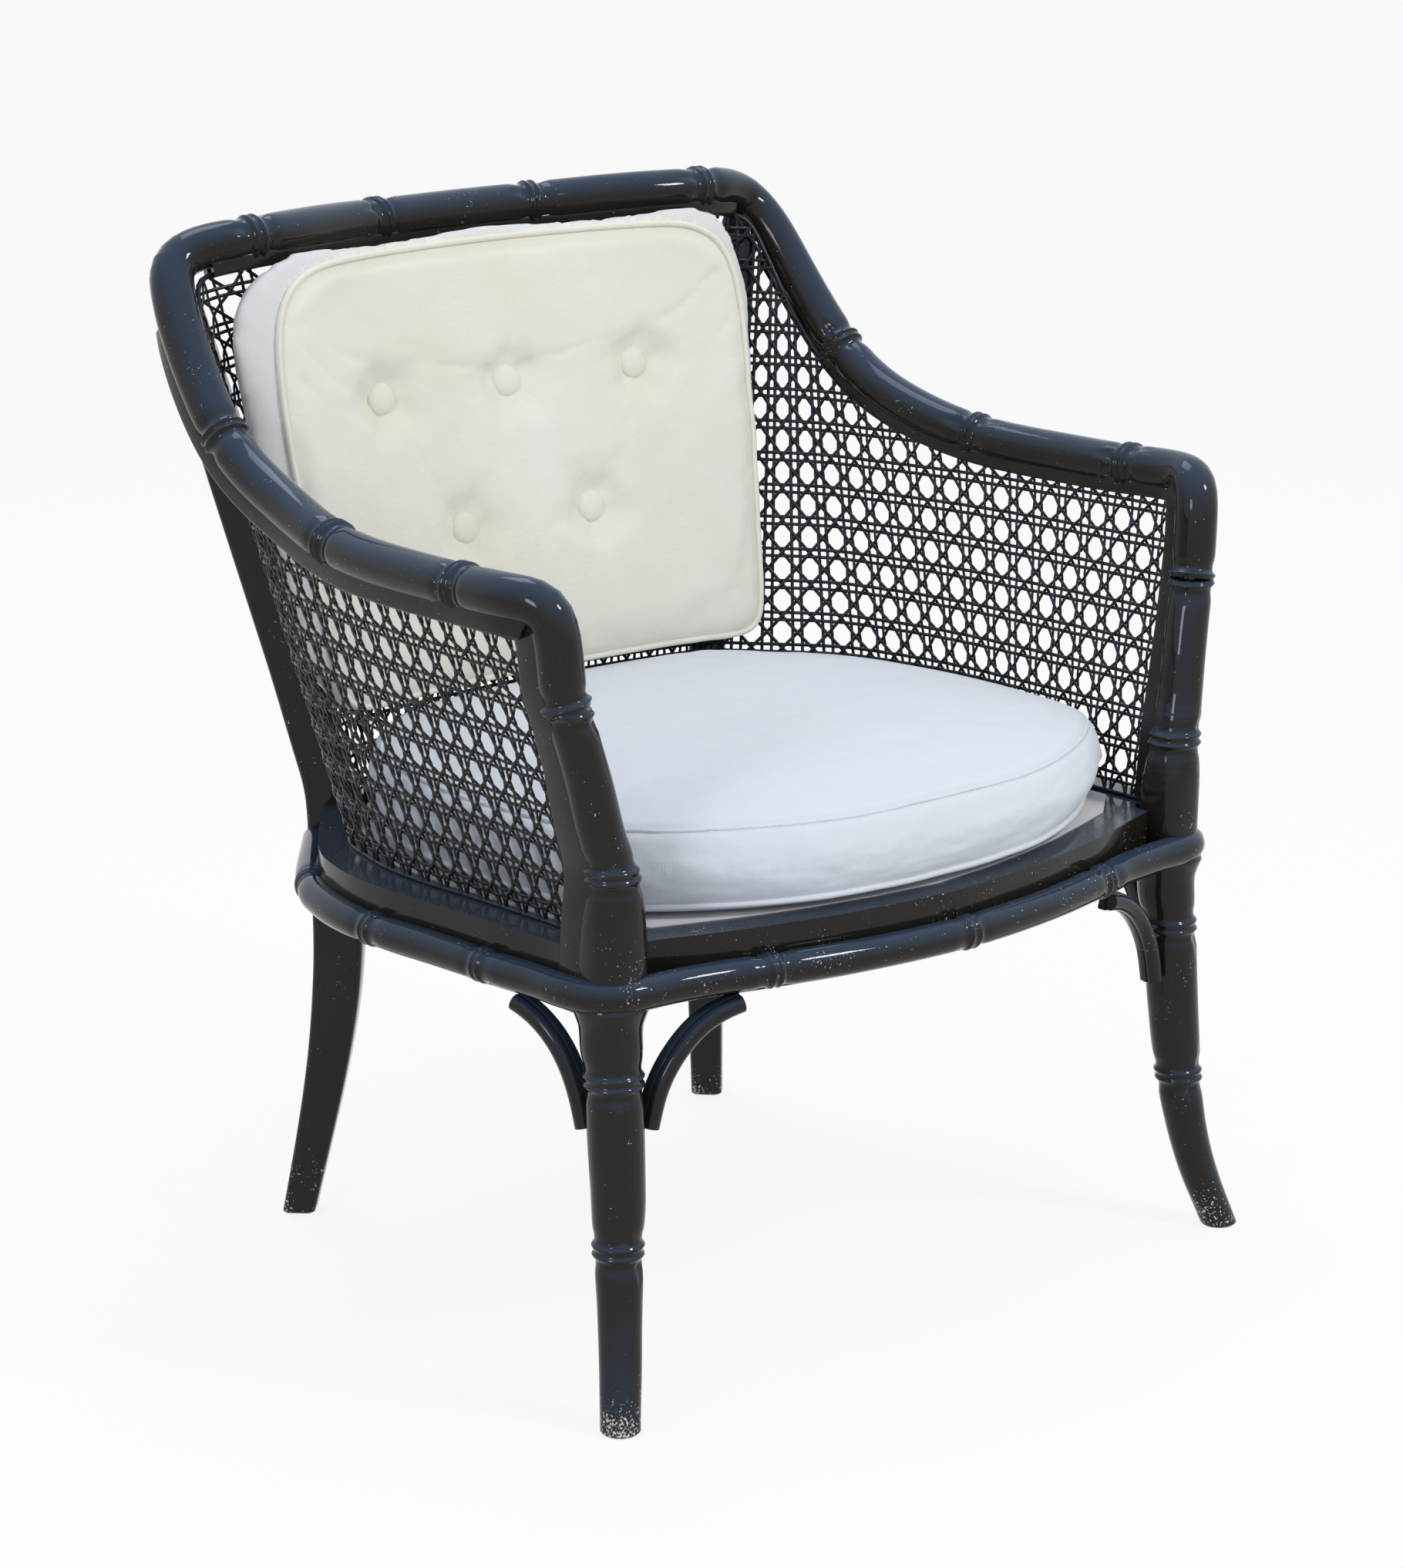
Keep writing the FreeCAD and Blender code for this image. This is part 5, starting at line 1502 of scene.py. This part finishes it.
@dataclass
class BackCushion:
    """Loose buttoned back cushion with a piping round its face; its filling lies to the right."""

    cloth: Dress
    # Cloth of the boxing, drawn cooler and a little darker than the face: painted shade on the cushion's
    # sides.
    boxing_shade_cloth: bpy.types.Material
    piping_r: float = 2.4
    piping_lift: float = 1.5
    seam_groove: Pair = (1.9, 4.6)
    hold: float = 6.0
    caps: tuple[float, float, float] = (0.5, 1.3, 2.5)
    boxing_waves: tuple[float, ...] = (26.0, 60.0, 34.0)
    boxing_height: float = 1.4
    face_facing: Pair = (0.5, 0.8)
    side_facing: tuple[Pair, Pair] = ((0.65, 0.35), (0.3, 0.8))
    face_waves: tuple[float, ...] = (70.0, 90.0, 80.0)
    face_height: float = 1.2
    fold_height: float = 1.1
    fold_ring: Pair = (24.0, 15.0)
    folds: float = 5.0
    fold_turn: float = 1.3
    crease: tuple[float, float, float] = (-1.9, 6.0, 3.2)
    crease_ridge: tuple[float, float, float] = (1.3, 13.5, 4.5)
    crease_lean: Pair = (0.05, 660.0)
    crease_foot: Pair = (664.0, 676.0)
    crease_head: Pair = (742.0, 702.0)
    bulge: Pair = (4.0, 17.0)
    bulge_top: float = 15.0
    top_facing: Pair = (0.4, 0.8)
    bulge_full: Pair = (13.0, 10.0)
    bulge_fall: Pair = (24.0, 14.0)
    bulge_end: Pair = (58.0, 34.0)
    bulge_lost: Pair = (0.6, 1.0)
    bulge_edge: Pair = (-28.0, -2.0)
    bulge_across: Pair = (80.0, -80.0)
    bulge_above: Pair = (425.0, 465.0)
    button_r: float = 13.0
    button_dome: float = 6.5
    rear_button: Pair = (9.0, 2.6)
    button_hem: float = 3.2
    pleats: float = 11.0
    pleat: float = 0.006
    button_lift: float = 0.6
    boxing_shade_from: tuple[float, float, float] = (1.5, -12.0, 42.0)
    face_y: float = 150.0
    rear_off: float = 200.0
    lean: float = 0.2
    buttons: tuple[Pair, ...] = (
        (-127.0, 658.0), (0.0, 658.0), (127.0, 658.0), (-64.0, 548.0), (64.0, 548.0))

    def axis(self) -> np.ndarray:
        """Direction through the cushion from its face to its rear."""
        return unit(BACKWARD - self.lean * UPWARD)

    def around(self, p: np.ndarray, x: float, z: float) -> tuple[np.ndarray, np.ndarray]:
        """Distance from a button's line and angle round it.

        Args:
            p: The points.
            x: Place of the button.
            z: Height of the button.

        Returns:
            The distances and the angles.
        """
        n = self.axis()
        d = p - np.array([x, self.face_y, z])
        d = d - (d @ n)[:, None] * n
        return np.linalg.norm(d, axis=1), np.arctan2(d[:, 2], d[:, 0])

    def beyond(self, p: np.ndarray, seam: np.ndarray) -> tuple[np.ndarray, np.ndarray, np.ndarray]:
        """Where points lie against the seam round the face.

        Args:
            p: The points.
            seam: The seam's path.

        Returns:
            How far each point is behind the seam, how far outside it, and the way outward there.
        """
        along = np.roll(seam, -3, axis=0) - np.roll(seam, 3, axis=0)
        out = unit(np.stack([along[:, 2], np.zeros(len(seam)), -along[:, 0]], -1))
        out = out * np.sign(np.sum(out * (seam - seam.mean(axis=0)), axis=1))[:, None]
        near = np.concatenate([np.argmin(((part[:, None, :] - seam[None]) ** 2).sum(-1), axis=1)
                               for part in np.array_split(p, 160)])
        away = p - seam[near]
        return away[:, 1], np.sum(away * out[near], axis=1), out[near]

    def bulged(self, p: np.ndarray, seam: np.ndarray) -> np.ndarray:
        """How the filling pushes the boxing out, most on the right and at the top.

        Args:
            p: The cushion's vertices.
            seam: The seam's path.

        Returns:
            The move of each vertex.
        """
        depth, edge, outward = self.beyond(p, seam)
        top = ramp(outward[:, 2], *self.top_facing)
        rise = eased(ramp(depth, 0.0, between(self.bulge_full, top)))
        fall = eased(ramp(depth, between(self.bulge_fall, top), between(self.bulge_end, top)))
        much = rise * (1.0 - between(self.bulge_lost, top) * fall) * ramp(edge, *self.bulge_edge)
        side = between(self.bulge, ramp(p[:, 0], *self.bulge_across))
        much = much * between((side, self.bulge_top), top) * ramp(p[:, 2], *self.bulge_above)
        return outward * much[:, None]

    def moved(self, p: np.ndarray, n: np.ndarray, seam: np.ndarray) -> np.ndarray:
        """The cover with its rumples, folds, crease, bulge and seam.

        Args:
            p: The cushion's vertices.
            n: Their normals.
            seam: The seam's path.

        Returns:
            The moved vertices.
        """
        facing = ramp(-n[:, 1], *self.face_facing)
        boxing = ramp(np.abs(n[:, 1]), *self.side_facing[0]) * ramp(np.abs(n[:, 0]), *self.side_facing[1])
        moved = p + rumple(p, n, self.boxing_waves, self.boxing_height * boxing)
        moved += rumple(p, n, self.face_waves, self.face_height * facing)
        height = np.zeros(len(p))
        for k, (x, z) in enumerate(self.buttons):
            away, angle = self.around(p, x, z)
            fold = np.cos(self.folds * angle + self.fold_turn * k)
            height += self.fold_height * fold * bell(away, *self.fold_ring)
        slope, level = self.crease_lean
        across = p[:, 0] - slope * (p[:, 2] - level)
        run = ramp(p[:, 2], *self.crease_foot) * ramp(p[:, 2], *self.crease_head)
        for high, middle, width in (self.crease, self.crease_ridge):
            height += high * bell(across, middle, width) * run
        depth, width = self.seam_groove
        height = height * facing - depth * nearness(p, seam, width)
        return moved + n * height[:, None] + self.bulged(p, seam)

    def build(self) -> None:
        """Make the cushion, its piping and its buttons."""
        cushion = Cushion("back_cushion_padded", "back_cushion_foam")
        seam = ring_path(BACK_PIPING, 460)
        p, n = cushion.surface()
        held = nearness(p, seam, self.hold)
        for x, z in self.buttons:
            held = np.maximum(held, np.exp(-(self.around(p, x, z)[0] / self.button_r) ** 4))
        rear, face, boxing = self.caps
        cushion.swell(held, np.where(n[:, 1] > 0.2, rear, np.where(n[:, 1] < -0.6, face, boxing)))
        cushion.reshape(self.moved(*cushion.surface(), seam))
        self.cloth.put_on(cushion.obj, "back_cushion_cover", "back_cushion_foam")
        faces = cushion.obj.data.polygons
        depth, edge, _ = self.beyond(np.array([face.center for face in faces]) / MM, seam)
        # Faces behind or outside the face's seam take the boxing cloth, whose cooler, darker colour is
        # painted shade.
        behind, inside, rear = self.boxing_shade_from
        white = ((depth > behind) & (edge > inside)) | (edge > behind) | (depth > rear)
        cushion.obj.data.materials.append(self.boxing_shade_cloth)
        faces.foreach_set("material_index", white.astype(np.int32))

        shell = Shell()
        shell.add_cord(cushion.on_surface(seam, self.piping_lift), self.piping_r)
        shell.finish("back_cushion_welt", self.cloth, ["back_cushion_piping"], 80.0)
        self.add_buttons(cushion, "back_cushion_buttons", 1.0, self.button_r, self.button_dome)
        self.add_buttons(cushion, "back_cushion_rear_buttons", -1.0, *self.rear_button)

    def add_buttons(self, cushion: Cushion, node: str, way: float, radius: float, dome: float) -> None:
        """Cloth-covered buttons on one face.

        Args:
            cushion: The cushion that they are sewn to.
            node: The node that they stand for.
            way: One for the front, minus one for the rear.
            radius: Radius of a button.
            dome: Height of its dome.
        """
        tree = cushion.tree()
        axis = self.axis() * way
        round_it = spokes(SIDEWAYS[None], np.cross(axis, SIDEWAYS)[None], 40)[0]
        pleats = self.pleat * np.cos(self.pleats * np.linspace(0.0, TURN, 40, endpoint=False))
        shell = Shell()
        for x, z in self.buttons:
            start = np.array([x, self.face_y, z]) + self.axis() * (self.rear_off if way < 0 else 0.0)
            at = np.array(tree.ray_cast(Vector(start), Vector(axis))[0])
            rings = []
            for a in np.radians(np.linspace(-60.0, 88.0, 16)):
                r, height = radius * (0.86 + 0.14 * math.cos(a * 1.5)), self.button_hem * math.sin(a)
                if a > 0.0:
                    r, height = radius * math.cos(a) ** 0.8, dome * math.sin(a)
                gathered = r * (1.0 + pleats * math.cos(a))
                rings.append(at - axis * (height + self.button_lift) + round_it * gathered[:, None])
            shell.add_rings(np.array(rings))
        shell.finish(f"{node}_covered", self.cloth, [node], 70.0)


@dataclass(frozen=True)
class Softbox:
    """A square studio lamp that looks at the chair."""

    name: str
    place: tuple[float, float, float]
    size: float
    power: float
    colour: str

    def build(self, target: Vector) -> None:
        """Set the lamp up.

        Args:
            target: The place that it looks at.
        """
        data = bpy.data.lights.new(self.name, "AREA")
        set_all(data, {"shape": "SQUARE", "size": self.size, "energy": self.power,
                       "color": srgb(self.colour)[:3]})
        lamp = bpy.data.objects.new(self.name, data)
        lamp.location = self.place
        lamp.rotation_euler = (target - Vector(self.place)).to_track_quat("-Z", "Y").to_euler()
        bpy.context.scene.collection.objects.link(lamp)


@dataclass
class Studio:
    """Pale floor, soft light and the camera at the photograph's viewing angle."""

    camera_place: tuple[float, float, float] = (-2.10876, -2.40335, 1.21889)
    camera_tilt: float = 74.90
    camera_heading: float = -41.36
    lens: float = 99.45
    sensor: float = 36.0
    target: tuple[float, float, float] = (0.0, 0.0, 0.42)
    floor_colour: str = "#f3f3f2"
    floor_size: float = 30.0
    floor_z: float = -0.0006
    floor_white: float = 0.86
    white: str = "#ffffff"
    ambient: float = 0.72
    ambient_colour: str = "#f2f5ff"
    lamps: tuple[Softbox, ...] = (
        Softbox("key", (0.9, -2.0, 2.3), 0.42, 27.0, "#fffaf2"),
        Softbox("fill", (-2.6, -0.9, 1.5), 0.6, 15.0, "#f6f8ff"),
        Softbox("sky", (0.3, 0.9, 2.6), 1.0, 13.0, "#eaf2ff"),
    )

    def seen(self, add: Callable[..., Socket]) -> Socket:
        """One for rays from the eye, from gloss and through glass, zero for light on the object.

        Args:
            add: The call that adds a node.

        Returns:
            The socket with the value.
        """
        share = add("LightPath", out="Is Camera Ray")
        for kind in ("Glossy", "Transmission"):
            other = add("LightPath", out=f"Is {kind} Ray")
            share = add("Math", {0: share, 1: other}, operation="MAXIMUM")
        return share

    def floor(self) -> None:
        """Large pale floor, near white to the eye, that keeps the chair's shadow."""
        size, z = self.floor_size, self.floor_z
        mesh = bpy.data.meshes.new("floor")
        mesh.from_pydata([(-size, -size, z), (size, -size, z), (size, size, z), (-size, size, z)],
                         [], [(0, 1, 2, 3)])
        ground = bpy.data.objects.new("floor", mesh)
        bpy.context.scene.collection.objects.link(ground)
        material, add = new_material("pale_floor")
        matt = add("BsdfDiffuse", {"Color": srgb(self.floor_colour)})
        white = add("Emission", {"Color": srgb(self.white), "Strength": 1.0})
        share = add("Math", {0: self.seen(add), 1: self.floor_white}, operation="MULTIPLY")
        add("OutputMaterial", {"Surface": add("MixShader", {0: share, 1: matt, 2: white})})
        mesh.materials.append(material)

    def world(self) -> None:
        """White background and a soft even sky."""
        world = bpy.data.worlds.new("studio")
        world.use_nodes = True
        world.node_tree.nodes.clear()
        add = partial(add_node, world.node_tree)
        soft = add("Background", {"Color": srgb(self.ambient_colour), "Strength": self.ambient})
        white = add("Background", {"Color": srgb(self.white), "Strength": 1.0})
        add("OutputWorld", {"Surface": add("MixShader", {0: self.seen(add), 1: soft, 2: white})})
        bpy.context.scene.world = world

    def camera(self) -> None:
        """Camera that sees the whole chair as the photograph does."""
        data = bpy.data.cameras.new("camera")
        set_all(data, {"lens": self.lens, "sensor_width": self.sensor})
        camera = bpy.data.objects.new("camera", data)
        camera.location = self.camera_place
        camera.rotation_euler = (math.radians(self.camera_tilt), 0.0, math.radians(self.camera_heading))
        bpy.context.scene.collection.objects.link(camera)
        bpy.context.scene.camera = camera

    def build(self) -> None:
        """Set the studio up."""
        bpy.context.scene.view_settings.view_transform = "Standard"
        self.floor()
        self.world()
        for lamp in self.lamps:
            lamp.build(Vector(self.target))
        self.camera()


def dress_nodes(materials: dict[str, bpy.types.Material]) -> None:
    """Give each node kept from the solids its finish.

    Args:
        materials: Slot name to material.
    """
    for part in frame["record"]["subparts"]:
        node, material = frame["nodes"].get(part["node"]), materials.get(part["material_slot"])
        if node is not None and material is not None:
            node.data.materials.clear()
            node.data.materials.append(material)


def main() -> None:
    """Build the chair around its solids."""
    logging.basicConfig(level=logging.INFO, format="%(message)s")
    lacquer = GlossLacquer().build()
    cane_lacquer = GlossLacquer(name="cane_lacquer", roughness=0.24, ior=1.42, dusty=0.0, chipped=0.0).build()
    white = CottonCloth("white_cotton", "#d5dbe0", "#d5dce6", "#c8d0dd", stained=0.3).build()
    ivory = CottonCloth("ivory_cotton", "#e6e7dc", "#dfdbc6", "#d6d4c6", stained=0.7).build()
    # Boxing cloth of the back cushion: drawn cooler and darker than the ivory face, as painted shade on its
    # sides.
    boxing = CottonCloth("boxing_cotton_painted_shade", "#d8dad9", "#d4d4cc", "#c8cbce", stained=0.3).build()
    dress_nodes({
        "lacquered_wood": lacquer,
        "lacquered_cane": cane_lacquer,
        "bare_wood": BareTimber("bare_beech", "#b98d5e", "#8c6238").build(),
        "plywood": BareTimber("birch_ply", "#cfae7f", "#a8814f").build(),
        "deck_cloth": CottonCloth("deck_cotton", "#e0e0e2", "#d4d4d4", "#c6c6c6", thread_mm=2.0).build(),
        "screw_steel": ZincPlate().build(),
        "twine": CottonCloth("waxed_twine", "#cfc4a8", "#b9ad8e", "#9c9072", thread_mm=0.9).build(),
    })
    for side in Side:
        Frame(Dress(lacquer, "lacquered_wood", "frame"), side).build()
    cane = CanePanel(Dress(cane_lacquer, "lacquered_cane", "frame"))
    cane.weave_cane()
    cane.lay_cords()
    SeatCushion(Dress(white, "white_cloth", "seat_cushion")).build()
    BackCushion(Dress(ivory, "ivory_cloth", "back_cushion"), boxing).build()
    Studio().build()


if __name__ == "__main__":
    main()
